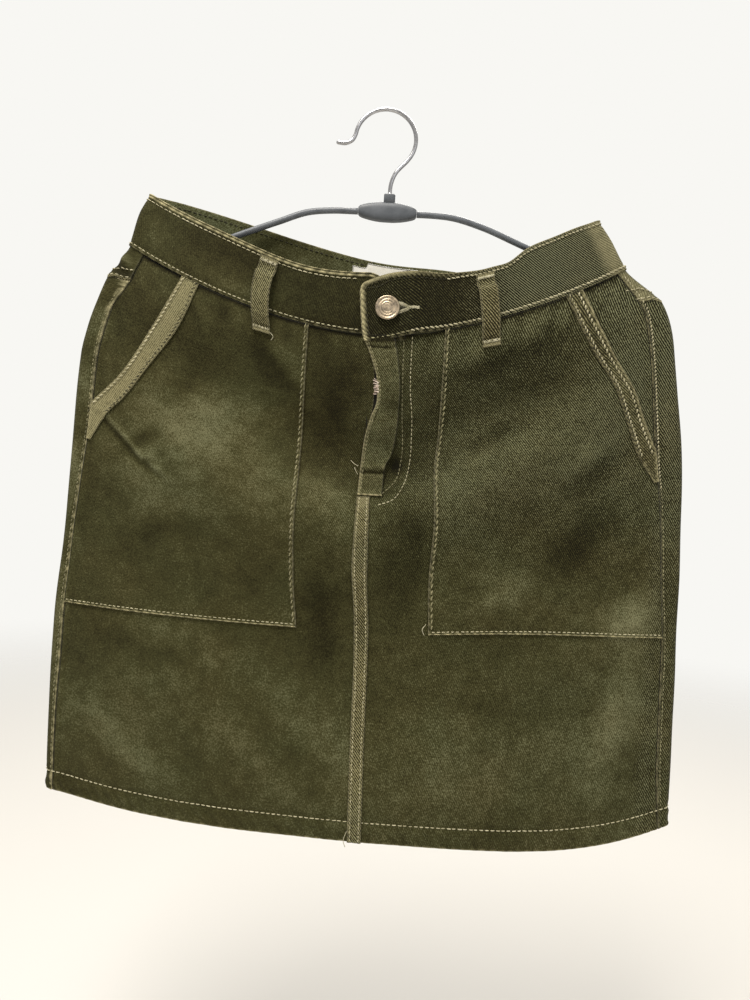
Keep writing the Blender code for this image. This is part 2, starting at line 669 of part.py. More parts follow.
def make_label(finish):
    """A blank woven label inside the back of the waistband, with one end tucked lower."""
    tuck = LABEL_LEFT + LABEL_STEP
    far_side = tuck + LABEL_CREASE
    x = np.array([LABEL_LEFT, tuck, far_side, (far_side + LABEL_RIGHT) / 2, LABEL_RIGHT])[None, :]
    top = np.where(x <= tuck, LABEL_TUCK, LABEL_TOP)
    levels = top + (LABEL_BOTTOM - top) * np.linspace(0, 1, BAND_ROWS + 1)[:, None]
    outer = BAND_IN - SEAM_GAP
    wall("label", back_turn(x, levels), levels, outer - LABEL_WALL, outer, finish)


# ------------------------------------------------------------- button and hanger parts


def turned(name, profile, sides, finish):
    """A solid of revolution about its own Z axis, from (radius, height) rows in mm."""
    bm = bmesh.new()
    rings = []
    for radius, height in profile:
        if radius == 0:
            rings.append([bm.verts.new((0, 0, height * MM))] * sides)
            continue
        angles = [2 * math.pi * k / sides for k in range(sides)]
        ring = [(radius * math.cos(a), radius * math.sin(a), height) for a in angles]
        rings.append([bm.verts.new([v * MM for v in point]) for point in ring])
    for low, high in zip(rings, rings[1:]):
        for k in range(sides):
            corners = [low[k], low[(k + 1) % sides], high[(k + 1) % sides], high[k]]
            bm.faces.new(dict.fromkeys(corners))
    return add_object(name, bm, finish)


def make_button(finish):
    """A shank button: a foot through the buttonhole under a ringed, domed cap."""
    profile = [(share * BUTTON_RADIUS, height) for share, height in BUTTON_PROFILE]
    button = turned("button", profile, BUTTON_SIDES, finish)
    x, level = BUTTON_AT
    turn = front_turn(x, level)
    lift = BAND_OUT - BAND_IN + SEAM_GAP + BAND_OUT + SEAM_GAP
    normal = outward(turn, level)
    button.location = place(skin(turn, level) + normal * lift)
    tip = math.atan2(float(normal[2]), -float(normal[1]))
    button.rotation_euler = (math.pi / 2 - tip, 0.0, math.atan2(float(normal[0]), -float(normal[1])))
    return button


def tube(name, points, radius, sides, finish):
    """A round bar along a line of points, in metres, with a flat start and a rounded end."""
    line = np.asarray(points, float)
    tangents = np.gradient(line, axis=0)
    tangents /= np.linalg.norm(tangents, axis=1, keepdims=True)
    sideways = np.array([0.0, 1.0, 0.0])
    across = np.cross(tangents, sideways)
    across /= np.linalg.norm(across, axis=1, keepdims=True)
    round_end = ((0.97, 0.25), (0.72, 0.70), (0.36, 0.93))   # shares of the radius: size, reach
    rows = [(point, i, 1.0) for i, point in enumerate(line)]
    rows += [(line[-1] + tangents[-1] * radius * reach, len(line) - 1, size) for size, reach in round_end]
    bm = bmesh.new()
    rings = []
    for centre, i, size in rows:
        angles = [2 * math.pi * k / sides for k in range(sides)]
        ring = [centre + radius * size * (across[i] * math.cos(a) + sideways * math.sin(a)) for a in angles]
        rings.append([bm.verts.new(point) for point in ring])
    for low, high in zip(rings, rings[1:]):
        for k in range(sides):
            bm.faces.new((low[k], low[(k + 1) % sides], high[(k + 1) % sides], high[k]))
    bm.faces.new(rings[0])
    bm.faces.new(rings[-1])
    return add_object(name, bm, finish)


def through(points, steps):
    """A smooth line through the points, evenly stepped between them."""
    points = np.asarray(points, float)
    reach = np.concatenate(([0.0], np.cumsum(np.linalg.norm(np.diff(points, axis=0), axis=1))))
    at = np.linspace(0, reach[-1], steps)
    return np.stack([smooth_line(reach, points[:, k], at) for k in range(points.shape[1])], 1)


def smooth_line(places, values, at):
    """A cubic through the values with slopes taken from their neighbours."""
    slopes = np.gradient(values, places)
    i = np.clip(np.searchsorted(places, at) - 1, 0, len(places) - 2)
    step = places[i + 1] - places[i]
    u = (at - places[i]) / step
    ends = (1 + 2 * u) * (1 - u) ** 2 * values[i] + u * u * (3 - 2 * u) * values[i + 1]
    return ends + step * (u * (1 - u) ** 2 * slopes[i] - u * u * (1 - u) * slopes[i + 1])


def arm_line(route, side):
    """The wire of one arm, ending just inside the side fold that rests on it."""
    heights = [height - ARM_HEIGHT_OF_WAIST for _, height in route]
    points = [(x, 0.0, z) for (x, _), z in zip(route, heights)]
    drop = heights[-1] - ARM_END_DROP
    clear = CLOTH + ARM_GAP + WIRE_RADIUS
    inside = 1 if side == "left" else -1
    points.append((float(girth(side, drop)) + inside * clear, 0.0, drop))
    return place(through(points, 20))


def hook_line():
    """The hook: a stem out of the neck, a bend into a round arc, and a turned-out tip."""
    centre_z = HOOK_WIRE_RADIUS - HOOK_RADIUS
    neck_top = -CENTRE_BELOW_HOOK + CENTRE_HEIGHT / 2 + NECK_RISE + SEAM_GAP
    start, end, steps = math.radians(HOOK_ARC[0]), math.radians(HOOK_ARC[1]), 26
    arc = [start + (end - start) * i / steps for i in range(steps + 1)]
    stem = [(STEM_X + x, neck_top + z) for x, z in HOOK_STEM]
    bend = [(HOOK_RADIUS * math.cos(a), centre_z + HOOK_RADIUS * math.sin(a)) for a in arc]
    tip = [(bend[-1][0] + x, bend[-1][1] + z) for x, z in HOOK_TIP]
    points = np.array([(x, 0.0, z) for x, z in stem + bend + tip])
    return through(points, 44) * MM


def make_hanger(vinyl, steel):
    tube("hanger_arm_left", arm_line(ARM_LEFT, "left"), WIRE_RADIUS * MM, 10, vinyl)
    tube("hanger_arm_right", arm_line(ARM_RIGHT, "right"), WIRE_RADIUS * MM, 10, vinyl)
    tube("hanger_hook", hook_line(), HOOK_WIRE_RADIUS * MM, 8, steel)
    make_hanger_centre(vinyl)


def make_hanger_centre(finish):
    """A boat-shaped moulding that holds both arms, with a short neck for the hook."""
    half, sides = CENTRE_LENGTH / 2, 16
    bm = bmesh.new()
    rings = []
    for along, size in CENTRE_SECTIONS:
        ring = []
        for k in range(sides):
            angle = 2 * math.pi * (k + 0.5) / sides
            up = math.copysign(abs(math.sin(angle)) ** 0.8, math.sin(angle))
            out = math.copysign(abs(math.cos(angle)) ** 0.6, math.cos(angle))
            y = CENTRE_DEPTH / 2 * out * (0.6 + 0.4 * size)
            z = CENTRE_HEIGHT / 2 * up * size - CENTRE_BELOW_HOOK
            ring.append(bm.verts.new(((CENTRE_X + half * along) * MM, y * MM, z * MM)))
        rings.append(ring)
    for low, high in zip(rings, rings[1:]):
        for k in range(sides):
            bm.faces.new((low[k], low[(k + 1) % sides], high[(k + 1) % sides], high[k]))
    bm.faces.new(rings[0])
    bm.faces.new(rings[-1])
    body = add_object("hanger_centre", bm, finish)

    neck = bpy.data.objects.new("hanger_neck_guide", bpy.data.meshes.new("hanger_neck_guide"))
    bpy.context.scene.collection.objects.link(neck)
    box = bmesh.new()
    bmesh.ops.create_cube(box, size=1.0)
    bmesh.ops.scale(box, vec=[v * MM for v in NECK_SIZE], verts=box.verts)
    bmesh.ops.bevel(box, geom=box.edges, offset=NECK_BEVEL * MM, segments=1, affect="EDGES")
    rise = -CENTRE_BELOW_HOOK + CENTRE_HEIGHT / 2 + NECK_RISE - NECK_SIZE[2] / 2
    bmesh.ops.translate(box, vec=(STEM_X * MM, 0, rise * MM), verts=box.verts)
    box.to_mesh(neck.data)
    box.free()
    neck.hide_render = True
    neck.display_type = "WIRE"
    join = body.modifiers.new("neck", "BOOLEAN")
    join.operation = "UNION"
    join.object = neck
    return body


def main():
    for old in list(bpy.data.objects):
        bpy.data.objects.remove(old, do_unlink=True)
    twill = material("twill", TWILL, 0.9)
    worn = material("worn twill", WORN_TWILL, 0.9)
    steel = material("steel wire", STEEL, 0.25, 1.0)
    brass = material("old brass", BRASS, 0.42, 1.0)
    vinyl = material("grey vinyl", GREY_VINYL, 0.45)
    white = material("woven label", LABEL_WHITE, 0.85)

    make_front_panels(twill)
    make_back(twill)
    make_waistband(twill)
    make_pocket("left", LEFT_MOUTH, LEFT_FACING, LEFT_POCKET, twill, worn)
    make_pocket("right", RIGHT_MOUTH, RIGHT_FACING, RIGHT_POCKET, twill, worn)
    make_fly(twill, worn, worn)
    for loop in LOOPS:
        make_belt_loop(loop, worn)
    make_label(white)
    make_button(brass)
    make_hanger(vinyl, steel)


main()
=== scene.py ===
"""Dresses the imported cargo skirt: washed twill, its seams and stitches, the zip, button and hanger.

Sizes are in millimetres of the hung skirt: x to the right as seen from the front, and level,
the height below the waist's side corners. Meshes are in metres from the hook's inner crown.
A turn runs 0 to 1 across the front, 1 to 2 round the right fold, 2 to 3 back across the back
and 3 to 4 round the left fold.
"""

import logging
import math
from collections.abc import Callable, Iterable, Sequence
from dataclasses import dataclass, field
from enum import Enum

import bpy
import numpy as np
from mathutils import Matrix, Vector


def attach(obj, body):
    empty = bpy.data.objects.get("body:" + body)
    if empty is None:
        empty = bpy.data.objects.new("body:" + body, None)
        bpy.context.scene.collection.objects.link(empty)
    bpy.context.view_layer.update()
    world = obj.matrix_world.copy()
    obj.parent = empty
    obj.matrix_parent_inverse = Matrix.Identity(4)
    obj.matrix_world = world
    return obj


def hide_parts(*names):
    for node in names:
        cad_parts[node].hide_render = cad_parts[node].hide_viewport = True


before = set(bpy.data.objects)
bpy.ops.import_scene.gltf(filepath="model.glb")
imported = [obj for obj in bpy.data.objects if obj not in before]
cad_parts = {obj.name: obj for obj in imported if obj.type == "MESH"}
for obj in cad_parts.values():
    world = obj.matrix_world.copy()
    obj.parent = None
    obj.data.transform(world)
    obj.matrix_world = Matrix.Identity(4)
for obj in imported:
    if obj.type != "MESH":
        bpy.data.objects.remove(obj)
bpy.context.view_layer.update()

log = logging.getLogger("skirt")

MM = 0.001
BODY = "root"
WAIST_FROM_HOOK = (8.0, 0.0, -74.1)

# Levels and gaps of the construction, in millimetres
WAIST_LEVEL = 2.3            # the rim stands this far over the side corners
BAND_LEVEL = -35.0
HEM_LEVEL = -438.0
HEM_STITCH = 13.5            # hem stitches above the hem's edge
CLOTH = 1.2
BAND_OUT, BAND_IN = 1.0, -1.6
SEAM_GAP = 0.3
SIDE_GAP = 0.5
LAY_GAP = 0.45
HEM_FOLD = 14.0
HEM_WALL = 2.6

Places = Sequence[tuple[float, float]]
Grid = np.ndarray


# ---- curves and tables


def smooth(places: Sequence[float], values: Sequence[float], at: Grid | float) -> Grid:
    """Reads a smooth curve through a table without overshooting it.

    Args:
        places: Where the table has values.
        values: The values there.
        at: Where to read the curve.

    Returns:
        The curve's values at those places.
    """
    order = np.argsort(places)
    x = np.asarray(places, float)[order]
    y = np.asarray(values, float)[order]
    step = np.diff(x)
    rate = np.diff(y) / step
    slope = np.concatenate(([rate[0]], np.zeros(len(x) - 2), [rate[-1]]))
    for i in range(1, len(x) - 1):
        if rate[i - 1] * rate[i] > 0:
            slope[i] = 2 * rate[i - 1] * rate[i] / (rate[i - 1] + rate[i])
    at = np.clip(at, x[0], x[-1])
    i = np.clip(np.searchsorted(x, at) - 1, 0, len(x) - 2)
    u = (at - x[i]) / step[i]
    rise = u * (1 - u) ** 2 * step[i] * slope[i] - u * u * (1 - u) * step[i] * slope[i + 1]
    return (1 + 2 * u) * (1 - u) ** 2 * y[i] + u * u * (3 - 2 * u) * y[i + 1] + rise


def read(table: Sequence[Sequence[float]], at: Grid | float, column: int = 1) -> Grid:
    """Reads a smooth curve through one column of a table whose first column is the place."""
    return smooth([row[0] for row in table], [row[column] for row in table], at)


def beside(edge: Places, inset: float, drop: float = 0.0) -> list[tuple[float, float]]:
    """An edge of levels and x turned into a line of x and levels, moved sideways and down."""
    return [(x + inset, level - drop) for level, x in edge]


def ease(low: float, high: float, value: Grid | float) -> Grid:
    """0 below low, 1 above high and an even S between them."""
    share = np.clip((np.asarray(value, float) - low) / (high - low), 0, 1)
    return share * share * (3 - 2 * share)


def bell(value: Grid | float, middle: Grid | float, width: float) -> Grid:
    """1 at the middle, fading to nothing on both sides, with width as half its breadth."""
    return np.exp(-(((value - middle) / width) ** 2))


def near_line(line: Places, x: Grid, level: Grid) -> tuple[Grid, Grid]:
    """Measures places against a broken line.

    Args:
        line: The line's points, as x and level.
        x: The places' x.
        level: The places' level.

    Returns:
        The distance from the line, positive on its upper side where it runs to the right,
        and how far along the line the nearest point is, from 0 to 1.
    """
    reach = [math.dist(a, b) for a, b in zip(line, line[1:])]
    best = np.full(np.broadcast(x, level).shape, 1e9)
    side, share, done = np.ones_like(best), np.zeros_like(best), 0.0
    for (x0, l0), (x1, l1), length in zip(line, line[1:], reach):
        dx, dl = (x1 - x0) / length, (l1 - l0) / length
        along = np.clip((x - x0) * dx + (level - l0) * dl, 0, length)
        gap = np.hypot(x - x0 - along * dx, level - l0 - along * dl)
        closer = gap < best
        best = np.where(closer, gap, best)
        side = np.where(closer, np.sign(dx * (level - l0) - dl * (x - x0)), side)
        share = np.where(closer, (done + along) / sum(reach), share)
        done += length
    return best * np.where(side < 0, -1, 1), share


def through(points: Sequence[Sequence[float]], steps: int) -> Grid:
    """A soft line through points of any dimension, in that many evenly spread points."""
    points = np.asarray(points, float)
    reach = np.concatenate(([0.0], np.cumsum(np.linalg.norm(np.diff(points, axis=0), axis=1))))
    at = np.linspace(0, reach[-1], steps)
    i = np.clip(np.searchsorted(reach, at) - 1, 0, len(reach) - 2)
    step = (reach[i + 1] - reach[i])[:, None]
    u = (at - reach[i])[:, None] / step
    slopes = np.gradient(points, reach, axis=0)
    ends = (1 + 2 * u) * (1 - u) ** 2 * points[i] + u * u * (3 - 2 * u) * points[i + 1]
    return ends + step * (u * (1 - u) ** 2 * slopes[i] - u * u * (1 - u) * slopes[i + 1])


def place(points: Grid) -> Grid:
    """Turns the skirt's millimetres into metres from the hook."""
    return (np.asarray(points, float) + WAIST_FROM_HOOK) * MM


# ---- the hung form


@dataclass(frozen=True)
class Girth:
    """One girth line of the hung skirt."""

    level: float
    dip_front: float
    dip_back: float
    curve: float
    lean: float
    tilt: float
    left: float
    right: float
    front: float
    back: float
    fold: float
    seam_left: float
    seam_right: float
    centre: float


@dataclass(frozen=True)
class Swag:
    """A broad draped fold that hangs between the hips."""

    x: float
    level: float
    rise_left: float
    rise_right: float
    reach_left: float
    reach_right: float
    width: float
    height: float


@dataclass(frozen=True)
class Dip:
    """A place where the rim hangs lower than its plain sag, in millimetres."""

    x: float
    reach: float
    depth: float


FRONT_DIPS = (Dip(-60, 42, 3.8), Dip(40, 20, 4.6), Dip(70, 22, 8.1), Dip(86, 9, 3.2), Dip(134, 14, -1.3))
BACK_DIPS = (Dip(-50, 60, 2.0), Dip(20, 50, 3.4), Dip(80, 34, 11.0))


@dataclass(frozen=True)
class Crease:
    """A soft trough or ridge that runs along a line of places.

    width is half its breadth, height is negative for a trough, and lip is the share of its
    height that stands up the other way along its upper side.
    """

    line: Places
    width: float
    height: float
    lip: float = 0.0

    def push(self, x: Grid, level: Grid) -> Grid:
        """How far this crease moves the cloth out at each place."""
        gap, share = near_line(self.line, x, level)
        fade = np.sin(math.pi * np.clip(0.06 + 0.88 * share, 0, 1)) ** 0.7
        body = bell(gap, 0.0, self.width)
        lip = self.lip * bell(gap, 1.9 * self.width, self.width)
        return self.height * fade * (body - lip)


GIRTHS = (
    Girth(0, 52.6, 33.5, 1.78, -0.03, 0, -178.7, 152.5, 20, 9, 4.0, 12, 7, -16),
    Girth(-12, 55.5, 35.5, 1.78, -0.02, 1, -185.2, 160.8, 20.5, 9, 4.2, 12, 7, -15.6),
    Girth(-35, 60.6, 40.5, 1.82, 0, 2, -191.5, 174.5, 21, 9, 4.5, 12, 7, -15),
    Girth(-58, 56, 40, 1.9, 0, 1, -206.5, 203.8, 21, 9, 5.0, 16.5, 15.5, -14),
    Girth(-78, 50, 36, 2.05, 0, 0, -213.7, 211.6, 20, 9, 5.0, 13, 18.5, -12.5),
    Girth(-98, 43, 30, 2.15, 0, 0, -219.3, 215.0, 19, 9, 5.0, 13.5, 19, -11.5),
    Girth(-118, 36, 24, 2.2, 0, 0, -223.0, 218.0, 18.5, 9, 5.0, 14, 20, -10.5),
    Girth(-163, 24, 12, 2.4, 0, 0, -224.8, 223.4, 18, 9, 5.0, 14, 21, -9.5),
    Girth(-213, 12, 7, 2.6, 0, 0, -226.2, 226.2, 19, 9, 5.0, 10.5, 18, -9),
    Girth(-263, 7, 5, 2.8, 0, 0, -228.2, 227.7, 20, 9, 5.0, 8.5, 16, -8.5),
    Girth(-313, 7, 5, 3.0, 0, 0, -231.0, 228.1, 21, 9, 5.0, 8.5, 12.5, -4.5),
    Girth(-383, 12, 9, 3.3, 0.25, 0, -231.3, 229.1, 22, 9, 5.0, 7, 12.5, -2.5),
    Girth(-425, 16, 12, 3.45, 0.4, 0, -230.2, 229.6, 23, 9, 5.0, 6.5, 10, -1),
    Girth(-438, 17, 13, 3.5, 0.42, 0, -229.5, 230.5, 23, 9, 5.0, 6.5, 9.5, -0.5),
)
FRONT_SWAGS = (
    Swag(-9, -228, 0.33, 0.70, 215, 200, 38, 5.0),
    Swag(-6, -166, 0.60, 0.72, 185, 170, 34, -3.6),
    Swag(-5, -408, 0.46, 0.30, 215, 110, 42, 2.2),
    Swag(20, -330, 0.30, 0.55, 120, 215, 48, -1.8),
)
BACK_SWAGS = (
    Swag(6, -250, 0.45, 0.40, 200, 200, 44, 2.4),
    Swag(0, -180, 0.50, 0.46, 190, 190, 40, -1.6),
    Swag(-14, -350, 0.30, 0.34, 190, 200, 50, 1.6),
)
FRONT_CREASES = (
    Crease(((-203, -158), (-186, -172), (-170, -187), (-152, -198)), 2.4, -1.3, 0.8),
    Crease(((-168, -184), (-162, -188)), 3.2, -1.3, 0.6),
    Crease(((-182, -179), (-171, -170), (-156, -158)), 6.0, -1.1, 0.2),
    Crease(((-94, -62), (-80, -81), (-63, -103)), 9.0, -1.4, 0.4),
    Crease(((49, -77), (90, -64), (134, -55)), 9.0, -1.3, 0.4),
    Crease(((62, -149), (86, -130), (104, -121)), 7.0, -0.9, 0.3),
    Crease(((128, -252), (146, -232), (164, -208)), 13.0, -1.2, 0.2),
    Crease(((140, -186), (157, -174), (176, -160)), 9.0, -1.4, 0.5),
    Crease(((174, -300), (190, -284), (206, -262)), 15.0, 1.1),
    Crease(((-212, -364), (-165, -398), (-122, -415)), 12.0, 0.9),
    Crease(((-98, -342), (-50, -386), (-16, -413)), 12.0, -0.8, 0.2),
    Crease(((170, -392), (186, -346), (199, -298)), 14.0, 1.0),
    Crease(((-206, -46), (-198, -51), (-188, -52)), 4.0, -2.0, 0.4),
    Crease(((-176, -252), (-150, -236), (-120, -232)), 10.0, -0.7),
    Crease(((-150, -128), (-138, -112), (-128, -92)), 8.0, -0.8, 0.3),
    Crease(((-38, -96), (-30, -124), (-27, -152)), 6.0, -0.7, 0.3),
    Crease(((24, -206), (30, -232), (34, -262)), 7.0, -0.7, 0.2),
    Crease(((-40, -262), (-33, -290), (-29, -330)), 8.0, -0.6, 0.2),
    Crease(((60, -340), (102, -352), (150, -346)), 13.0, -0.7),
    Crease(((-190, -318), (-160, -328), (-118, -326)), 9.0, -0.6, 0.2),
    Crease(((74, -282), (98, -268), (118, -250)), 8.0, 0.6),
    Crease(((197, -120), (203, -150), (206, -182)), 4.0, -0.9, 0.4),
    Crease(((-141, -50), (-134, -62)), 4.0, -0.5, 0.5),
    Crease(((-118, -38), (-113, -58)), 4.5, -0.5, 0.5),
    Crease(((-71, -38), (-68, -56)), 4.0, -0.4, 0.5),
    Crease(((-45, -38), (-40, -60)), 4.5, -0.5, 0.5),
    Crease(((33, -38), (31, -62)), 4.0, -0.5, 0.5),
    Crease(((58, -38), (55, -54)), 4.5, -0.4, 0.5),
    Crease(((96, -38), (92, -60)), 5.0, -0.6, 0.5),
    Crease(((121, -38), (115, -56)), 4.0, -0.5, 0.5),
)
BACK_CREASES = (
    Crease(((-196, -150), (-176, -168), (-150, -186)), 6.0, -1.3, 0.5),
    Crease(((-120, -120), (-96, -146), (-60, -168)), 10.0, -1.2, 0.4),
    Crease(((52, -118), (92, -100), (140, -92)), 9.0, -1.2, 0.4),
    Crease(((88, -196), (126, -176), (168, -162)), 10.0, -1.0, 0.4),
    Crease(((-60, -228), (-20, -246), (24, -250)), 12.0, 0.8),
    Crease(((-188, -300), (-148, -330), (-96, -352)), 12.0, 0.8),
    Crease(((60, -330), (110, -316), (166, -280)), 12.0, -0.9, 0.3),
    Crease(((-24, -316), (-12, -356), (-8, -404)), 9.0, -0.7, 0.2),
    Crease(((120, -396), (160, -372), (196, -330)), 12.0, 0.8),
    Crease(((184, -96), (192, -130), (196, -170)), 5.0, -0.9, 0.4),
    Crease(((-132, -38), (-126, -60)), 4.5, -0.5, 0.5),
    Crease(((-84, -38), (-80, -62)), 4.5, -0.5, 0.5),
    Crease(((-34, -38), (-33, -58)), 4.0, -0.4, 0.5),
    Crease(((31, -38), (29, -60)), 4.5, -0.5, 0.5),
    Crease(((66, -38), (63, -56)), 4.0, -0.4, 0.5),
    Crease(((118, -38), (114, -58)), 4.5, -0.5, 0.5),
    Crease(((-172, -3), (-163, -13), (-166, -31)), 3.2, -1.3, 0.7),
    Crease(((-158, -2), (-152, -15), (-159, -30)), 3.0, 1.1, 0.5),
)


@dataclass(frozen=True)
class SkirtForm:
    """The shape that the cloth hangs in, with its swags, creases and puckered hem."""

    girths: tuple[Girth, ...] = GIRTHS
    front_swags: tuple[Swag, ...] = FRONT_SWAGS
    back_swags: tuple[Swag, ...] = BACK_SWAGS
    front_creases: tuple[Crease, ...] = FRONT_CREASES
    back_creases: tuple[Crease, ...] = BACK_CREASES
    front_dips: tuple[Dip, ...] = FRONT_DIPS
    back_dips: tuple[Dip, ...] = BACK_DIPS
    front_dip_fade: tuple[float, float] = (BAND_LEVEL, 0.0)
    back_dip_fade: tuple[float, float] = (-130.0, -30.0)
    swag_bend: float = 18.0
    back_skew: float = 0.6
    back_skew_reach: float = 160.0
    fold_gain: float = 0.75
    hem_pucker: float = 0.42
    hem_pucker_pitch: float = 8.6

    def girth(self, column: str, level: Grid | float) -> Grid:
        """A column of the girth table at any level."""
        return smooth([g.level for g in self.girths], [getattr(g, column) for g in self.girths], level)

    def middle(self, level: Grid) -> Grid:
        """x halfway between the side folds."""
        return (self.girth("left", level) + self.girth("right", level)) / 2

    def half_width(self, level: Grid) -> Grid:
        """Half the width over the side folds."""
        return (self.girth("right", level) - self.girth("left", level)) / 2

    def flat_half(self, level: Grid) -> Grid:
        """Half the width between the side folds' own centres."""
        return self.half_width(level) - self.girth("fold", level)

    def swag_push(self, swags: tuple[Swag, ...], x: Grid, level: Grid) -> Grid:
        """How far the draped folds move the cloth out at each place."""
        push = np.zeros(np.broadcast(x, level).shape)
        for swag in swags:
            across = x - swag.x
            climb = np.where(across > 0, swag.rise_right, swag.rise_left)
            reach = np.where(across > 0, swag.reach_right, swag.reach_left)
            bend = np.sqrt(across ** 2 + self.swag_bend ** 2) - self.swag_bend
            line = swag.level + climb * bend
            fade = np.clip(1 - (across / reach) ** 2, 0, 1)
            push = push + swag.height * fade * bell(level, line, swag.width)
        return push

    def height(self, x: Grid, level: Grid, at_back: Grid) -> Grid:
        """Z below the waist corners, at x on a girth line."""
        s = np.clip((x - self.middle(level)) / self.half_width(level), -1, 1)
        sag = 1 - np.abs(s) ** self.girth("curve", level)
        skew = self.back_skew * s * np.clip(1 + level / self.back_skew_reach, 0, 1)
        front = self.girth("dip_front", level) * (1 + self.girth("lean", level) * s)
        back = self.girth("dip_back", level) * (1 + skew)
        front_dip, back_dip = (
            sum(dip.depth * bell(x, dip.x, dip.reach) for dip in dips) * ease(*fade, level)
            for dips, fade in ((self.front_dips, self.front_dip_fade), (self.back_dips, self.back_dip_fade))
        )
        low = np.where(at_back, back, front) * sag + np.where(at_back, back_dip, front_dip)
        return level - low + self.girth("tilt", level) * s

    def skin(self, turn: Grid | float, level: Grid | float) -> Grid:
        """Points of the smooth form, in the skirt's millimetres.

        Args:
            turn: Where round the body.
            level: Where down it.

        Returns:
            x, y and z in the last axis.
        """
        turn, level = np.broadcast_arrays(np.asarray(turn, float), np.asarray(level, float))
        turn = (turn + 4.0) % 4
        mid, flat, fold = self.middle(level), self.flat_half(level), self.girth("fold", level)
        part = np.floor(turn)
        along = turn - part
        s = np.where(part == 0, 2 * along - 1, 1 - 2 * along)
        across = mid + flat * s
        full = (1 - np.clip(np.abs(s), 0, 1) ** 4) ** 1.5
        swell_front = self.girth("front", level) - fold + self.swag_push(self.front_swags, across, level)
        swell_back = self.girth("back", level) - fold + self.swag_push(self.back_swags, across, level)
        angle = np.where(part == 1, along - 0.5, along + 0.5) * math.pi
        side = np.where(part == 1, mid + flat, mid - flat)
        is_fold = (part == 1) | (part == 3)
        x = np.where(is_fold, side + fold * np.cos(angle), across)
        front_back = np.where(part == 0, -fold - swell_front * full, fold + swell_back * full)
        y = np.where(is_fold, fold * np.sin(angle), front_back)
        return np.stack([x, y, self.height(x, level, y > 0)], -1)

    def outward(self, turn: Grid | float, level: Grid | float) -> Grid:
        """Unit normals of the smooth form, pointing out of the skirt."""
        small_turn, small_level = 0.002, 0.5
        around = self.skin(turn + small_turn, level) - self.skin(turn - small_turn, level)
        down = self.skin(turn, level - small_level) - self.skin(turn, level + small_level)
        normal = np.cross(down, around)
        return normal / np.linalg.norm(normal, axis=-1, keepdims=True)

    def creased(self, points: Grid, level: Grid) -> Grid:
        """How far the creases alone move the cloth out at points of the smooth form."""
        x, front = points[..., 0], ease(5.0, -5.0, points[..., 1])
        push = sum(crease.push(x, level) for crease in self.front_creases) * front
        return push + sum(crease.push(x, level) for crease in self.back_creases) * (1 - front)

    def relief(self, points: Grid, level: Grid) -> Grid:
        """How far creases, hem puckers and the cloth's slight waves move it out.

        Args:
            points: Points of the smooth form.
            level: Their levels.

        Returns:
            The push at each point.
        """
        x, front = points[..., 0], ease(5.0, -5.0, points[..., 1])
        push = self.creased(points, level)
        # Slight waves of about 130 mm and, over them, of about 45 mm
        waves = 0.30 * np.sin(x / 21 + 1.1 * np.sin(level / 33)) * np.sin(level / 27 + np.sin(x / 46))
        waves = waves + 0.14 * np.sin(x / 7.3 + level / 11.5 + 1.7 * np.sin(x / 19))
        inside = ease(BAND_LEVEL - 4, BAND_LEVEL - 16, level)
        deeper = self.swag_push(self.front_swags, x, level) * front
        return push + self.fold_gain * deeper + waves * inside + self.hem_waves(x, level)

    def hem_waves(self, x: Grid, level: Grid) -> Grid:
        """Slanted puckers of the hem between its stitches and its edge."""
        up = level - HEM_LEVEL
        # They die out at the edge, at the stitches and, above those, within a few millimetres.
        window = ease(-1.0, 2.5, up) * ease(HEM_STITCH - 0.5, HEM_STITCH - 4.0, up)
        phase = (x + 0.9 * up) / self.hem_pucker_pitch + 0.35 * np.sin(x / 29) + 0.2 * np.sin(x / 11.3)
        shape = np.sin(2 * math.pi * phase) + 0.35 * np.sin(4.4 * math.pi * phase + 1)
        above = ease(HEM_STITCH + 9, HEM_STITCH + 1, up) * ease(HEM_STITCH - 2, HEM_STITCH + 1, up)
        return self.hem_pucker * (window + 0.35 * above) * shape - 0.5 * bell(up, HEM_STITCH, 1.6)

    def lay(self, turn: Grid, level: Grid, lift: Grid | float) -> Grid:
        """Points at a height above the cloth's own surface, in the skirt's millimetres."""
        base = self.skin(turn, level)
        push = self.relief(base, np.broadcast_to(level, base.shape[:-1])) + lift
        return base + self.outward(turn, level) * push[..., None]

    def front_turn(self, x: Grid | float, level: Grid | float) -> Grid:
        """Turn of a point on the front."""
        return ((x - self.middle(level)) / self.flat_half(level) + 1) / 2

    def back_turn(self, x: Grid | float, level: Grid | float) -> Grid:
        """Turn of a point on the back."""
        return 2 + (1 - (x - self.middle(level)) / self.flat_half(level)) / 2

    def seam_x(self, side: str, level: Grid | float, gap: float = 0.0) -> Grid:
        """x of a side seam, moved by gap mm towards mid front."""
        inset = self.girth("seam_" + side, level) + gap
        return self.girth(side, level) + (inset if side == "left" else -inset)

    def seam_turn(self, side: str, level: Grid | float, gap: float = 0.0) -> Grid:
        """Turn of a side seam, moved by gap mm towards mid front."""
        return self.front_turn(self.seam_x(side, level, gap), level)

    def unrolled(self, turn: Grid, level: Grid) -> Grid:
        """Millimetres round the body from mid front, as if the cloth lay flat."""
        flat, arc = 2 * self.flat_half(level), math.pi * self.girth("fold", level)
        start = self.middle(level) - flat / 2
        start = start + arc * np.minimum(turn, 0) + flat * np.clip(turn, 0, 1)
        start = start + arc * np.clip(turn - 1, 0, 1) + flat * np.clip(turn - 2, 0, 1)
        return start + arc * np.clip(turn - 3, 0, 1) + flat * np.clip(turn - 4, 0, 1)


FORM = SkirtForm()


# ---- materials


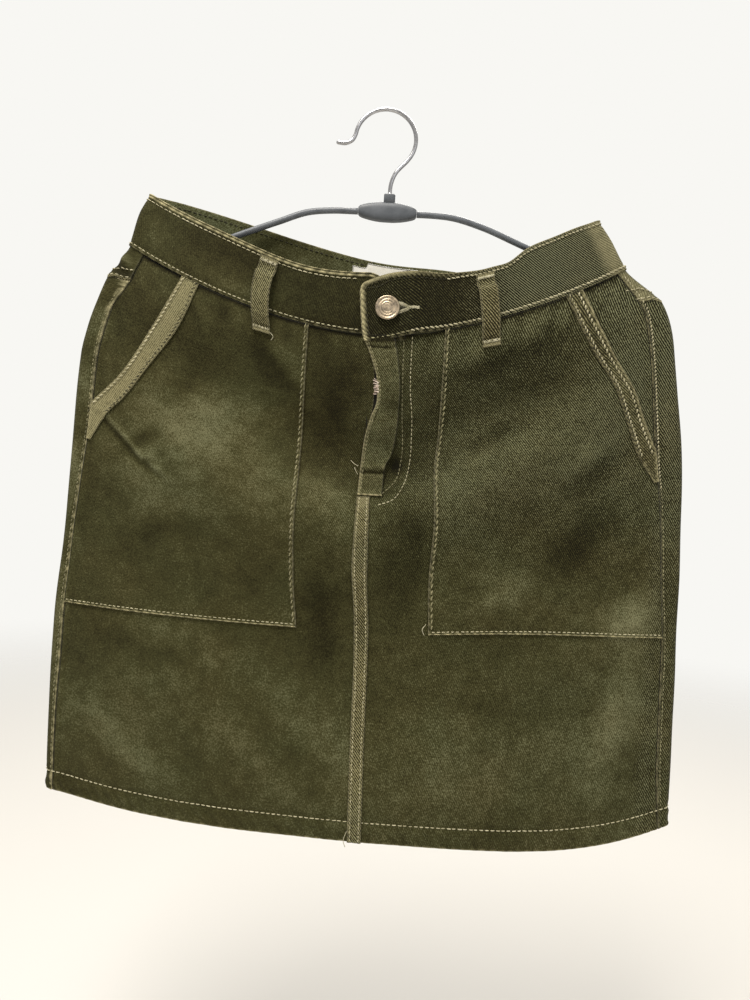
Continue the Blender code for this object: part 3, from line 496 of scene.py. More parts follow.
class Slot(Enum):
    """The record's material slots."""

    TWILL = "twill"
    WORN = "worn_twill"
    ZIP = "zip_tape"
    LABEL = "label"
    BRASS = "brass"
    STEEL = "steel"
    PLASTIC = "grey_plastic"
    VINYL = "grey_vinyl"


def linear(colour: str) -> tuple[float, float, float, float]:
    """Turns an sRGB hex colour such as "#4a4a30" into linear light with full alpha."""
    parts = [int(colour[i:i + 2], 16) / 255 for i in (1, 3, 5)]
    return (*[p / 12.92 if p <= 0.04045 else ((p + 0.055) / 1.055) ** 2.4 for p in parts], 1.0)


def add_node(
    tree: bpy.types.NodeTree,
    kind: str,
    inputs: dict[str | int, object] | None = None,
    **settings: object,
) -> bpy.types.Node:
    """Adds a node to a tree with its settings and links.

    Args:
        tree: The node tree.
        kind: The node's type, by its identifier.
        inputs: For each input, a socket to link from or a plain value.
        settings: Attributes of the node itself.

    Returns:
        The new node.
    """
    node = tree.nodes.new(kind)
    for name, value in settings.items():
        setattr(node, name, value)
    for name, value in (inputs or {}).items():
        if isinstance(value, bpy.types.NodeSocket):
            tree.links.new(value, node.inputs[name])
        else:
            node.inputs[name].default_value = value
    return node


def new_material(name: str) -> tuple[bpy.types.Material, bpy.types.NodeTree]:
    """An empty node material with only its output."""
    material = bpy.data.materials.new(name)
    material.use_nodes = True
    tree = material.node_tree
    tree.nodes.clear()
    add_node(tree, "ShaderNodeOutputMaterial", name="output")
    return material, tree


def set_ramp(node: bpy.types.Node, stops: Sequence[tuple[float, str]]) -> None:
    """Gives a colour ramp its stops, as places and hex colours."""
    elements = node.color_ramp.elements
    while len(elements) < len(stops):
        elements.new(0.5)
    for element, (position, colour) in zip(elements, stops):
        element.position = position
        element.color = linear(colour)


@dataclass(frozen=True)
class WashedTwill:
    """Cotton twill, 340 g/m2, piece-dyed olive, stitched and then stone washed.

    Its yarns lie in diagonal ridges. The wash leaves it brown-olive with soft clouds, and
    pale wherever an edge or a ridge stood up. The inner face shows more green and less twill.
    """

    name: str = "washed twill"
    slot: Slot = Slot.TWILL
    deep: str = "#0e0c01"
    dark: str = "#24210b"
    mid: str = "#413f23"
    light: str = "#7b7a5b"
    worn: str = "#918a68"
    cream: str = "#d2c698"
    ridge_pitch: float = 1.38      # mm from one diagonal ridge to the next
    ridge_fall: float = 60.0       # degrees below level that a ridge falls to the right
    ridge_depth: float = 1.0       # how strongly the ridges show
    cloud_size: float = 70.0       # mm, as every size of noise here
    drift_size: float = 64.0       # how far apart brown and green patches lie
    mottle_size: float = 9.0
    fleck_size: float = 1.2
    brown_tint: tuple[float, float, float, float] = (1.025, 0.993, 0.965, 1.0)
    green_tint: tuple[float, float, float, float] = (0.965, 1.0, 1.0, 1.0)
    roughness: float = 0.88
    sheen: float = 0.04
    bump_mm: float = 0.24

    def shares(self, tree: bpy.types.NodeTree) -> dict[str, bpy.types.NodeSocket]:
        """Works out how light, rubbed and raised each place is.

        Args:
            tree: The material's node tree.

        Returns:
            Sockets by name, of which the material uses value, greener, rubbed, bleached and height.
        """
        uv = add_node(tree, "ShaderNodeUVMap", uv_map="cloth").outputs[0]
        inputs = {0: uv, 1: (1 / MM, 1 / MM, 0)}
        flat = add_node(tree, "ShaderNodeVectorMath", inputs, operation="MULTIPLY").outputs[0]
        piece = add_node(tree, "ShaderNodeAttribute", attribute_name="piece").outputs["Fac"]
        shift = add_node(tree, "ShaderNodeCombineXYZ", {"Z": piece}).outputs[0]
        cloth = add_node(tree, "ShaderNodeVectorMath", {0: flat, 1: shift}, operation="ADD").outputs[0]
        turn, wave = math.radians(self.ridge_fall), 2 * math.pi / self.ridge_pitch
        across = (math.sin(turn) * wave, math.cos(turn) * wave, 0)
        phase = add_node(tree, "ShaderNodeVectorMath", {0: flat, 1: across}, operation="DOT_PRODUCT")
        found = {"phase": phase.outputs["Value"]}
        for name in ("twill", "tone", "wear", "inside"):
            found[name] = add_node(tree, "ShaderNodeAttribute", attribute_name=name).outputs["Fac"]
        for name, size, detail, rough in (
            ("clouds", self.cloud_size, 2, 0.5), ("mottle", self.mottle_size, 3, 0.6),
            ("flecks", self.fleck_size, 2, 0.7), ("drift", self.drift_size, 3, 0.6),
        ):
            inputs = {"Vector": cloth, "Scale": 1 / size, "Detail": detail, "Roughness": rough}
            found[name] = add_node(tree, "ShaderNodeTexNoise", inputs).outputs["Fac"]
        # Each step has a name, an operation, and the earlier steps or numbers that it takes.
        for name, operation, *takes in (
            ("wobble", "MULTIPLY_ADD", "mottle", 5.0, "phase"),
            ("ridges", "SINE", "wobble"),
            ("shown", "MULTIPLY", "ridges", "twill"),
            ("clouded", "MULTIPLY_ADD", "clouds", 0.36, 0.15),
            ("mottled", "MULTIPLY_ADD", "mottle", 0.34, "clouded"),
            ("grain", "MULTIPLY_ADD", "twill", 1.3, 0.75),
            ("even_flecks", "SUBTRACT", "flecks", 0.5),
            ("flecked", "MULTIPLY_ADD", "even_flecks", "grain", "mottled"),
            ("ridged", "MULTIPLY_ADD", "shown", 0.42 * self.ridge_depth, "flecked"),
            ("toned", "ADD", "ridged", "tone"),
            ("value", "MULTIPLY_ADD", "inside", 0.16, "toned"),
            ("thin", "MULTIPLY_ADD", "flecks", 0.9, -0.9),
            ("patchy", "MULTIPLY_ADD", "mottle", 0.9, "thin"),
            ("worn", "MULTIPLY_ADD", "patchy", "wear", "wear"),
            ("yarn", "MULTIPLY_ADD", "shown", 0.5 * self.ridge_depth, "flecks"),
            ("height", "MULTIPLY_ADD", "mottle", 0.7, "yarn"),
        ):
            inputs = {k: found.get(value, value) for k, value in enumerate(takes)}
            found[name] = add_node(tree, "ShaderNodeMath", inputs, operation=operation).outputs[0]
        for name, source, low, high in (
            ("green", "drift", 0.36, 0.62), ("rubbed", "worn", 0.12, 0.62), ("bleached", "worn", 0.55, 1.15),
        ):
            inputs = {"Value": found[source], "From Min": low, "From Max": high}
            found[name] = add_node(tree, "ShaderNodeMapRange", inputs).outputs[0]
        inputs = {0: found["inside"], 1: 0.8, 2: found["green"]}
        found["greener"] = add_node(tree, "ShaderNodeMath", inputs, operation="MULTIPLY_ADD").outputs[0]
        return found

    def material(self) -> bpy.types.Material:
        """Builds the material."""
        material, tree = new_material(self.name)
        found = self.shares(tree)
        ramp = add_node(tree, "ShaderNodeValToRGB", {"Fac": found["value"]})
        set_ramp(ramp, ((0.0, self.deep), (0.3, self.dark), (0.6, self.mid), (1.0, self.light)))
        tint = add_node(
            tree, "ShaderNodeMix", {0: found["greener"], 6: self.brown_tint, 7: self.green_tint},
            data_type="RGBA", clamp_factor=False,
        ).outputs[2]
        colour = ramp.outputs[0]
        for share, over, blend in (
            (1.0, tint, "MULTIPLY"), (found["rubbed"], linear(self.worn), "MIX"),
            (found["bleached"], linear(self.cream), "MIX"),
        ):
            inputs = {0: share, 6: colour, 7: over}
            colour = add_node(tree, "ShaderNodeMix", inputs, data_type="RGBA", blend_type=blend).outputs[2]
        inputs = {"Height": found["height"], "Distance": self.bump_mm * MM, "Strength": 0.7}
        bump = add_node(tree, "ShaderNodeBump", inputs)
        shader = add_node(
            tree, "ShaderNodeBsdfPrincipled",
            {
                "Base Color": colour, "Roughness": self.roughness, "Normal": bump.outputs[0],
                "IOR": 1.5, "Specular IOR Level": 0.12, "Sheen Weight": self.sheen, "Sheen Roughness": 0.5,
            },
        )
        tree.links.new(shader.outputs[0], tree.nodes["output"].inputs[0])
        return material


@dataclass(frozen=True)
class SpunFinish:
    """A finish with one base colour, a second that mottles it, and fine relief.

    It stands for thread, woven tape, dipped vinyl, moulded plastic, brass and steel, each
    from its own sizes below.
    """

    name: str
    base: str
    second: str
    mottle_size: float             # mm
    roughness: float
    slot: Slot | None = None
    metallic: float = 0.0
    ior: float = 1.5
    rough_swing: float = 0.0       # how far the mottle moves the roughness
    bump_mm: float = 0.05
    bump_size: float = 0.5
    sheen: float = 0.0

    def material(self) -> bpy.types.Material:
        """Builds the material."""
        material, tree = new_material(self.name)
        where = add_node(tree, "ShaderNodeNewGeometry").outputs["Position"]
        inputs = {"Vector": where, "Scale": 1 / (self.mottle_size * MM), "Detail": 3, "Roughness": 0.6}
        mottle = add_node(tree, "ShaderNodeTexNoise", inputs).outputs["Fac"]
        inputs = {"Value": mottle, "From Min": 0.32, "From Max": 0.68}
        spread = add_node(tree, "ShaderNodeMapRange", inputs).outputs[0]
        inputs = {0: spread, 6: linear(self.base), 7: linear(self.second)}
        colour = add_node(tree, "ShaderNodeMix", inputs, data_type="RGBA").outputs[2]
        inputs = {"Vector": where, "Scale": 1 / (self.bump_size * MM), "Detail": 2}
        fine = add_node(tree, "ShaderNodeTexNoise", inputs).outputs["Fac"]
        inputs = {"Height": fine, "Distance": self.bump_mm * MM, "Strength": 0.6}
        bump = add_node(tree, "ShaderNodeBump", inputs)
        roughness: object = self.roughness
        if self.rough_swing:
            inputs = {
                "Value": mottle, "From Min": 0.3, "From Max": 0.7,
                "To Min": self.roughness - self.rough_swing, "To Max": self.roughness + self.rough_swing,
            }
            roughness = add_node(tree, "ShaderNodeMapRange", inputs).outputs[0]
        shader = add_node(
            tree, "ShaderNodeBsdfPrincipled",
            {
                "Base Color": colour, "Metallic": self.metallic, "Roughness": roughness, "IOR": self.ior,
                "Normal": bump.outputs[0], "Sheen Weight": self.sheen,
            },
        )
        tree.links.new(shader.outputs[0], tree.nodes["output"].inputs[0])
        return material


class Finish(Enum):
    """Every finish of the skirt and its hanger."""

    BODY_TWILL = WashedTwill()
    # The band is cut along the cloth's width, so its ridges fall less steeply. They are
    # drawn a little coarser than the body's, because their relief is deeper there.
    BAND_TWILL = WashedTwill(
        name="washed twill cut across", ridge_pitch=1.62, ridge_fall=56.0, ridge_depth=1.5, bump_mm=0.36
    )
    # Loops, facings and the felled seam are rubbed most, so their dye is nearly gone.
    LOOP_TWILL = WashedTwill(
        name="rubbed twill", slot=Slot.WORN, deep="#211e10", dark="#3a371f", mid="#5c5739", light="#938d68",
        ridge_fall=50.0, ridge_depth=1.2,
    )
    # Spun polyester thread, left cream by an olive dye that doesn't take on it.
    THREAD = SpunFinish(
        "spun sewing thread", "#948d69", "#cbc3a0", 9.0, 0.7, bump_mm=0.08, bump_size=0.3, sheen=0.2
    )
    BAR_THREAD = SpunFinish(
        "bar tack thread", "#8f8a68", "#c9c2a4", 5.0, 0.7, bump_mm=0.08, bump_size=0.3, sheen=0.2
    )
    # The same thread where the wash has rubbed olive dye back into it.
    DULL_THREAD = SpunFinish(
        "dyed sewing thread", "#5f5b3a", "#a39c74", 5.0, 0.75, bump_mm=0.08, bump_size=0.3, sheen=0.15
    )
    # Sewing thread painted near black for shade: in needle holes, in the buttonhole's slit, inside the band
    # and along the overlap's end.
    DARK_THREAD = SpunFinish(
        "sewing thread in painted shade", "#1f1d0e", "#3a3720", 3.0, 0.85, bump_mm=0.06, bump_size=0.3
    )
    # Woven polyester zip tape with a flat weave of 0.5 mm, painted near black for the shade under the fly.
    ZIP_TAPE = SpunFinish(
        "woven zip tape in painted shade", "#100f09", "#211f16", 3.0, 0.95, Slot.ZIP, bump_mm=0.15, bump_size=0.5
    )
    # Nylon coil, worn to a dull flesh pink.
    ZIP_COIL = SpunFinish("nylon zip coil", "#a8917f", "#e2d3c4", 2.0, 0.5, Slot.ZIP, bump_mm=0.03)
    # Woven satin label, off white, with nothing on it.
    LABEL = SpunFinish(
        "woven satin label", "#d9d5c8", "#efece2", 6.0, 0.55, Slot.LABEL, bump_mm=0.06, bump_size=0.35,
        sheen=0.3,
    )
    # Brass plated button, rubbed to a dull pinkish gold on its high rings.
    BRASS = SpunFinish(
        "rubbed brass plate", "#8e8271", "#c9b79b", 3.5, 0.38, Slot.BRASS, metallic=1.0, rough_swing=0.1,
        bump_mm=0.04, bump_size=0.4,
    )
    # Bright drawn steel wire, nickel plated.
    STEEL = SpunFinish(
        "bright steel wire", "#a9a9ab", "#c4c4c6", 4.0, 0.2, Slot.STEEL, metallic=1.0, rough_swing=0.06,
        bump_mm=0.01,
    )
    # Vinyl dipped wire: a soft even skin with a broad highlight.
    VINYL = SpunFinish(
        "vinyl dipped wire", "#575b60", "#6a6e73", 12.0, 0.42, Slot.VINYL, rough_swing=0.06, bump_mm=0.03,
        bump_size=1.2,
    )
    # Injection moulded plastic with a fine spark-eroded grain.
    PLASTIC = SpunFinish(
        "moulded grey plastic", "#4d5156", "#5d6166", 9.0, 0.45, Slot.PLASTIC, rough_swing=0.05,
        bump_mm=0.03, bump_size=0.4,
    )

    @property
    def material(self) -> bpy.types.Material:
        """Its material, built when a piece first needs it."""
        return bpy.data.materials.get(self.value.name) or self.value.material()


# ---- making meshes


def add_piece(
    name: str,
    vertices: Grid,
    faces: Iterable[Sequence[int]],
    finish: Finish,
    replaced: Sequence[str] = (),
) -> bpy.types.Object:
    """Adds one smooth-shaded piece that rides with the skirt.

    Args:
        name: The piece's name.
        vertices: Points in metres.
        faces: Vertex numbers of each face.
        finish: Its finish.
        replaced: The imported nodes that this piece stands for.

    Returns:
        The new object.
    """
    mesh = bpy.data.meshes.new(name)
    mesh.from_pydata(np.asarray(vertices, float).reshape(-1, 3).tolist(), [], [list(f) for f in faces])
    mesh.shade_smooth()
    mesh.materials.append(finish.material)
    made = bpy.data.objects.new(name, mesh)
    bpy.context.scene.collection.objects.link(made)
    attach(made, BODY)
    if replaced:
        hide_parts(*replaced)
    log.info("%s: %d faces", name, len(mesh.polygons))
    return made


def grid_faces(rows: int, columns: int, start: int = 0, closed: bool = False) -> Grid:
    """Quads of a grid of vertices, joined round its columns if closed."""
    numbers = start + np.arange(rows * columns).reshape(rows, columns)
    if closed:
        numbers = np.concatenate((numbers, numbers[:, :1]), axis=1)
    corners = (numbers[:-1, :-1], numbers[1:, :-1], numbers[1:, 1:], numbers[:-1, 1:])
    return np.stack(corners, -1).reshape(-1, 4)


def closed_faces(rings: int, sides: int) -> list[list[int]]:
    """Faces of a tube of rings, with a cap at both ends."""
    faces = [face[::-1] for face in grid_faces(rings, sides, closed=True).tolist()]
    last = (rings - 1) * sides
    return faces + [list(range(sides)), list(range(last, last + sides))[::-1]]


def tube_mesh(line: Grid, radii: Grid | float, sides: int) -> tuple[Grid, list[list[int]]]:
    """Vertices and faces of a closed round tube along a line.

    Args:
        line: Points of its middle, in metres.
        radii: Its radius at each point, in metres.
        sides: How many sides its section has.

    Returns:
        The vertices, ring by ring, and the faces with both caps.
    """
    line = np.asarray(line, float)
    radii = np.broadcast_to(radii, len(line))
    tangents = np.gradient(line, axis=0)
    tangents /= np.linalg.norm(tangents, axis=1, keepdims=True)
    aside = np.zeros_like(line)
    guide = np.array([0.0, 1.0, 0.0]) if abs(tangents[0, 1]) < 0.9 else np.array([1.0, 0.0, 0.0])
    for i, tangent in enumerate(tangents):
        guide = guide - tangent * (guide @ tangent)
        guide = guide / np.linalg.norm(guide)
        aside[i] = guide
    other = np.cross(tangents, aside)
    angles = np.arange(sides) * 2 * math.pi / sides
    around = np.cos(angles)[None, :, None] * aside[:, None] + np.sin(angles)[None, :, None] * other[:, None]
    rings = line[:, None] + around * radii[:, None, None]
    return rings.reshape(-1, 3), closed_faces(len(line), sides)


@dataclass
class Heap:
    """Many small meshes that end up as one piece."""

    vertices: list[Grid] = field(default_factory=list)
    faces: list[list[int]] = field(default_factory=list)
    count: int = 0

    def add(self, vertices: Grid, faces: Iterable[Sequence[int]]) -> None:
        """Takes in one mesh whose faces count from its own first vertex."""
        self.faces.extend([[self.count + k for k in face] for face in faces])
        self.vertices.append(np.asarray(vertices, float))
        self.count += len(vertices)

    def add_tube(self, line: Grid, radii: Grid | float, sides: int) -> None:
        """Takes in a tube along a line in metres."""
        self.add(*tube_mesh(line, radii, sides))

    def piece(self, name: str, finish: Finish, replaced: Sequence[str] = ()) -> bpy.types.Object:
        """Makes the heap one piece."""
        return add_piece(name, np.concatenate(self.vertices), self.faces, finish, replaced)


class Margin(Enum):
    """The four edges of a piece of cloth."""

    LEFT = "left"
    RIGHT = "right"
    TOP = "top"
    BOTTOM = "bottom"


@dataclass(frozen=True)
class RopedEdge:
    """A stitched edge that the wash has puckered into a soft rope.

    width is from the edge to the stitches, pitch from one pucker to the next, slant how far
    a pucker leans along the edge for each mm away from it, puff how proud the puckers stand,
    rubbed how pale they are and rim how pale the edge itself is.
    """

    width: float = 4.0
    pitch: float = 6.0
    slant: float = 0.8
    puff: float = 0.3
    rubbed: float = 0.4
    rim: float = 0.5
    rim_width: float = 1.2
    groove: float = 0.25
    second: float = 0.0            # how pale a second line is, below a narrow dark one

    def shape(self, away: Grid, along: Grid) -> tuple[Grid, Grid]:
        """The edge's relief and its paleness.

        Args:
            away: Distance from the edge.
            along: Distance along it.

        Returns:
            How far it stands proud, and how rubbed it is, at each place.
        """
        away = np.maximum(away, 0)
        # The puckers' spacing wanders, and so does how much the wash rubbed them.
        phase = (along + self.slant * away) / self.pitch
        phase = phase + 0.3 * np.sin(along / 17.3) + 0.17 * np.sin(along / 6.1)
        wave = np.sin(2 * math.pi * phase) + 0.3 * np.sin(5.2 * math.pi * phase + 0.8)
        window = ease(0.0, 1.0, away + 0.3) * ease(self.width + 0.4, self.width * 0.6, away)
        swell = 0.5 + 0.5 * np.sin(along / 41 + 1.7 * np.sin(along / 23))
        groove = self.groove * bell(away, self.width, 0.9)
        lift = self.puff * window * (0.75 + 0.45 * wave) - groove
        rubbed = self.rubbed * window * np.clip(0.45 + 0.5 * wave, 0, 1) * (0.65 + 0.35 * swell)
        rim = self.rim * ease(self.rim_width * 1.5, self.rim_width * 0.3, away)
        rim = np.maximum(rim, self.second * bell(away, self.rim_width + 1.5, 0.75))
        return lift, np.maximum(rubbed, rim * (0.75 + 0.3 * np.clip(wave, -1, 1)))


@dataclass(frozen=True)
class Cut:
    """The flat size that a piece of cloth was cut to, in millimetres, and its share of that rectangle."""

    width: float
    length: float
    share: float = 1.0


@dataclass
class ClothPiece:
    """A closed, thin piece of cloth laid over the form as a grid, with rounded edges."""

    name: str
    turns: Grid
    levels: Grid
    inner: Grid | float
    outer: Grid | float
    edges: dict[Margin, RopedEdge] = field(default_factory=dict)
    number: float = 0.0            # moves the piece within the dye's clouds, so that pieces differ
    twill: float = 1.0
    tone: Grid | float = 0.0
    wear: Grid | float = 0.0
    rounding: float = 0.5
    dents: Grid | float = 0.0      # relief of its own, which both faces share
    evenly: bool = False           # whether the twill shows alike all over, as on rubbed pieces
    sloping: bool = False          # whether the weave follows the piece's own sloping line
    most_lean: float = 0.7         # steepest lean of a side that its edge's puckers follow
    proud_wear_and_light: float = 0.05       # how much paler the cloth is for each mm that it stands proud, and darker where it sinks: partly wear, partly painted light and shade
    crease_light_and_shade: float = 0.14      # the same for creases alone: painted shade in their troughs and painted light on their lips

    def margins(self, u: Grid, v: Grid) -> dict[Margin, tuple[Grid, Grid]]:
        """Distance from each edge, and along it, at each place of the grid."""
        found = {}
        for margin, column, sign in ((Margin.LEFT, 0, 1), (Margin.RIGHT, -1, -1)):
            edge = u[:, column]
            lean = np.clip(np.gradient(edge, v[:, column]), -self.most_lean, self.most_lean)
            longer = np.sqrt(1 + lean ** 2)[:, None]
            found[margin] = (sign * (u - edge[:, None]) / longer, v * longer)
        for margin, row, sign in ((Margin.TOP, 0, -1), (Margin.BOTTOM, -1, 1)):
            edge = v[row, :]
            found[margin] = (sign * (v - edge[None, :]), u)
        return found

    @staticmethod
    def weave_places(base: Grid) -> tuple[Grid, Grid]:
        """Places in the weave of a piece whose lower edge slopes, along that edge and down from it."""
        foot = base[-1]
        step = np.diff(foot, axis=0, prepend=foot[:1])
        run = np.hypot(step[:, 0], step[:, 1])
        run[0] = run[1]
        slope = np.arctan2(step[:, 2], run)
        slope[0] = slope[1]
        along = np.cumsum(np.linalg.norm(step, axis=1))
        offset = base - foot[None]
        aside = (offset[..., :2] * (step[:, :2] / run[:, None])[None]).sum(-1)
        return (
            along + aside * np.cos(slope) + offset[..., 2] * np.sin(slope),
            offset[..., 2] * np.cos(slope) - aside * np.sin(slope),
        )

    def make(
        self, finish: Finish, cut: Cut, rests_on: Sequence[str], replaced: Sequence[str] | None = None
    ) -> None:
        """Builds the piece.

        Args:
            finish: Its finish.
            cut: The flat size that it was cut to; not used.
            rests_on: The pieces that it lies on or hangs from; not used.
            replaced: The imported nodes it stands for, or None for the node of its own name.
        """
        turns, levels = np.broadcast_arrays(self.turns, self.levels)
        shape = turns.shape
        u, v = FORM.unrolled(turns, levels), levels.astype(float)
        proud, wear = np.zeros(shape) + self.dents, np.zeros(shape) + self.wear
        margins = self.margins(u, v)
        for margin, edge in self.edges.items():
            lift, rubbed = edge.shape(*margins[margin])
            proud = proud + lift
            wear = np.maximum(wear, rubbed)
        base = FORM.skin(turns, levels)
        normal = FORM.outward(turns, levels)
        relief = FORM.relief(base, levels)
        outer = base + normal * (relief + self.outer + proud)[..., None]
        inner = base + normal * (relief + self.inner + self.dents)[..., None]
        strength, tone = wash_and_shade(base, levels)
        twill = np.clip((1.0 if self.evenly else strength) * self.twill + 0 * strength, 0, 2.2)
        # Painted light and shade on the relief, partly also wear: paler where the cloth stands proud, darker
        # where it sinks and along creases.
        tone = tone + self.tone + self.proud_wear_and_light * np.clip(relief + proud, -1.5, 1.5)
        tone = tone + self.crease_light_and_shade * np.clip(FORM.creased(base, levels), -1.0, 1.0)

        vertices, faces = self.shell(outer, inner)
        rows, columns = shape
        count = rows * columns
        rim = self.rim_places(rows, columns)
        rim_numbers = np.array([i * columns + j for i, j in rim])
        rings = (len(vertices) - 2 * count) // len(rim)
        index = np.concatenate([np.arange(count)] * 2 + [rim_numbers] * rings)
        nodes = (self.name,) if replaced is None else replaced
        made = add_piece(self.name, place(vertices), faces, finish, nodes)
        inside = np.concatenate((np.zeros(count), np.ones(count), np.zeros(len(rim) * rings)))
        values = {
            "twill": twill.ravel()[index] * (1 - 0.8 * inside),
            "tone": tone.ravel()[index],
            "wear": wear.ravel()[index] * (1 - 0.5 * inside),
            "piece": np.full(len(index), self.number),
            "inside": inside,
        }
        mesh = made.data
        for name, value in values.items():
            mesh.attributes.new(name, "FLOAT", "POINT").data.foreach_set("value", value.astype(np.float32))
        loops = np.zeros(len(mesh.loops), np.int32)
        mesh.loops.foreach_get("vertex_index", loops)
        if self.sloping:
            u, v = self.weave_places(base)
        flat = np.stack([u.ravel()[index], v.ravel()[index]], -1)[loops] * MM
        mesh.uv_layers.new(name="cloth").data.foreach_set("uv", flat.astype(np.float32).ravel())

    @staticmethod
    def rim_places(rows: int, columns: int) -> list[tuple[int, int]]:
        """The grid's outline, once round."""
        places = [(i, 0) for i in range(rows)] + [(rows - 1, j) for j in range(1, columns)]
        places += [(i, columns - 1) for i in range(rows - 2, -1, -1)]
        return places + [(0, j) for j in range(columns - 2, 0, -1)]

    def shell(self, outer: Grid, inner: Grid) -> tuple[Grid, list[list[int]]]:
        """Joins the outer and inner faces round a rounded rim.

        Args:
            outer: Points of the outer face.
            inner: Points of the inner face.

        Returns:
            All vertices, and the faces.
        """
        rows, columns = outer.shape[:2]
        rim = self.rim_places(rows, columns)
        edge = np.array(rim)
        step = np.stack([
            np.where(edge[:, 0] == 0, 1, np.where(edge[:, 0] == rows - 1, -1, 0)),
            np.where(edge[:, 1] == 0, 1, np.where(edge[:, 1] == columns - 1, -1, 0)),
        ], -1)
        near = edge + step
        out_edge, in_edge = outer[edge[:, 0], edge[:, 1]], inner[edge[:, 0], edge[:, 1]]
        inward = outer[near[:, 0], near[:, 1]] - out_edge
        room = np.linalg.norm(inward, axis=1, keepdims=True)
        radius = np.minimum(self.rounding, 0.45 * room)
        inward = inward / room
        middle, half = (out_edge + in_edge) / 2, (out_edge - in_edge) / 2
        rings = [
            middle + half * math.cos(a) + inward * radius * (1 - math.sin(a))
            for a in (math.pi * 0.25, math.pi * 0.5, math.pi * 0.75)
        ]
        outer, inner = outer.copy(), inner.copy()
        outer[edge[:, 0], edge[:, 1]] = out_edge + inward * radius
        inner[edge[:, 0], edge[:, 1]] = in_edge + inward * radius
        count = rows * columns
        out_faces = grid_faces(rows, columns)
        in_faces = grid_faces(rows, columns, count)[:, ::-1]
        mid_row, mid_column = rows // 2, columns // 2
        down = outer[mid_row, mid_column] - outer[mid_row - 1, mid_column]
        along = outer[mid_row, mid_column] - outer[mid_row, mid_column - 1]
        facing = np.cross(down, along) @ (outer[mid_row, mid_column] - inner[mid_row, mid_column])
        numbers = edge[:, 0] * columns + edge[:, 1]
        loops = [numbers]
        loops += [2 * count + k * len(rim) + np.arange(len(rim)) for k in range(3)]
        loops.append(count + numbers)
        sides = [
            np.stack([a, b, np.roll(b, -1), np.roll(a, -1)], -1) for a, b in zip(loops, loops[1:])
        ]
        faces = np.concatenate([out_faces, in_faces] + [s[:, ::-1] for s in sides])
        if facing < 0:
            faces = faces[:, ::-1]
        vertices = np.concatenate([outer.reshape(-1, 3), inner.reshape(-1, 3), *rings])
        return vertices, faces.tolist()


# ---- where the wash shows, with painted light and shade on the front


@dataclass(frozen=True)
class WashPatch:
    """A cloud of paler or darker tone, by its middle and its half sizes: the dye's own clouds, and on the
    front also painted light and shade.
    """

    x: float
    level: float
    across: float
    down: float
    tone: float


# Besides the dye's clouds, the front's patches paint light and shade: paler on lit folds, darker below the
# band and in hollows.
FRONT_WASH_AND_SHADE = (
    WashPatch(-108, -26, 22, 7, 0.16),
    WashPatch(-208, -92, 8, 14, 0.16),
    WashPatch(-217, -140, 7, 14, 0.12),
    WashPatch(-222, -196, 7, 20, 0.20),
    WashPatch(-226, -300, 8, 60, 0.14),
    WashPatch(-130, -8, 60, 7, -0.10),
    WashPatch(-172, -14, 10, 12, 0.10),
    WashPatch(-120, -80, 80, 26, -0.06),
    WashPatch(-125, -140, 66, 40, 0.26),
    WashPatch(-95, -208, 70, 22, 0.06),
    WashPatch(-32, -90, 22, 48, -0.16),
    WashPatch(-34, -190, 22, 30, 0.12),
    WashPatch(-34, -285, 20, 60, -0.12),
    WashPatch(30, -115, 18, 60, -0.10),
    WashPatch(18, -225, 26, 50, -0.16),
    WashPatch(22, -262, 22, 34, -0.13),
    # Painted shadow beside the placket's raised right edge.
    WashPatch(13.5, -163.5, 3.6, 6.5, -0.7),
    WashPatch(96, -80, 60, 26, -0.16),
    WashPatch(90, -135, 70, 18, 0.02),
    WashPatch(110, -205, 80, 38, -0.06),
    WashPatch(110, -350, 120, 80, 0.10),
    WashPatch(120, -268, 70, 26, 0.08),
    WashPatch(-120, -350, 120, 70, 0.04),
    WashPatch(186, -286, 26, 14, 0.12),
    WashPatch(-60, -340, 120, 50, 0.05),
)
BACK_WASH = (
    WashPatch(-110, -150, 70, 50, 0.08),
    WashPatch(90, -220, 80, 60, -0.08),
    WashPatch(-20, -330, 120, 60, 0.07),
    WashPatch(150, -130, 50, 50, 0.06),
)


TWILL_SHADE = 0.06             # how much darker the dye looks where the twill shows


def wash_and_shade(points: Grid, level: Grid) -> tuple[Grid, Grid]:
    """How clearly the twill shows, and the tone: the dye's clouds with, on the front, painted light and
    shade.

    Args:
        points: Points of the smooth form.
        level: Their levels.

    Returns:
        The twill's strength and the tone, at each point.
    """
    x, front = points[..., 0], ease(5.0, -5.0, points[..., 1])
    # The twill shows most towards the right and the waist, and again close to the right seam.
    towards_right = 0.10 + 0.78 * ease(-80.0, 70.0, x)
    higher = 0.22 + 0.78 * ease(-285.0, -170.0, level)
    near_side = 0.55 * ease(130.0, 180.0, x) * ease(-210.0, -120.0, level) + 0.5 * ease(196.0, 208.0, x)
    strength = front * (towards_right * higher + near_side) + (1 - front) * (0.5 + 0.2 * np.sin(x / 60))

    def clouds(patches: tuple[WashPatch, ...]) -> Grid:
        """The patches' tone at each point."""
        return sum(p.tone * bell(x, p.x, p.across) * bell(level, p.level, p.down) for p in patches)

    return strength, front * clouds(FRONT_WASH_AND_SHADE) + (1 - front) * clouds(BACK_WASH) - TWILL_SHADE * strength


# ---- grids over the form


def spaced(*stretches: tuple[float, float, int]) -> Grid:
    """Values along stretches of (start, end, steps), each starting where the last ended."""
    values = [stretches[0][0]]
    for start, end, steps in stretches:
        values.extend(start + (end - start) * i / steps for i in range(1, steps + 1))
    return np.array(values)


FINE_EDGE = (0.0, 1.2, 2.3, 3.4, 4.6, 6.0, 7.8)


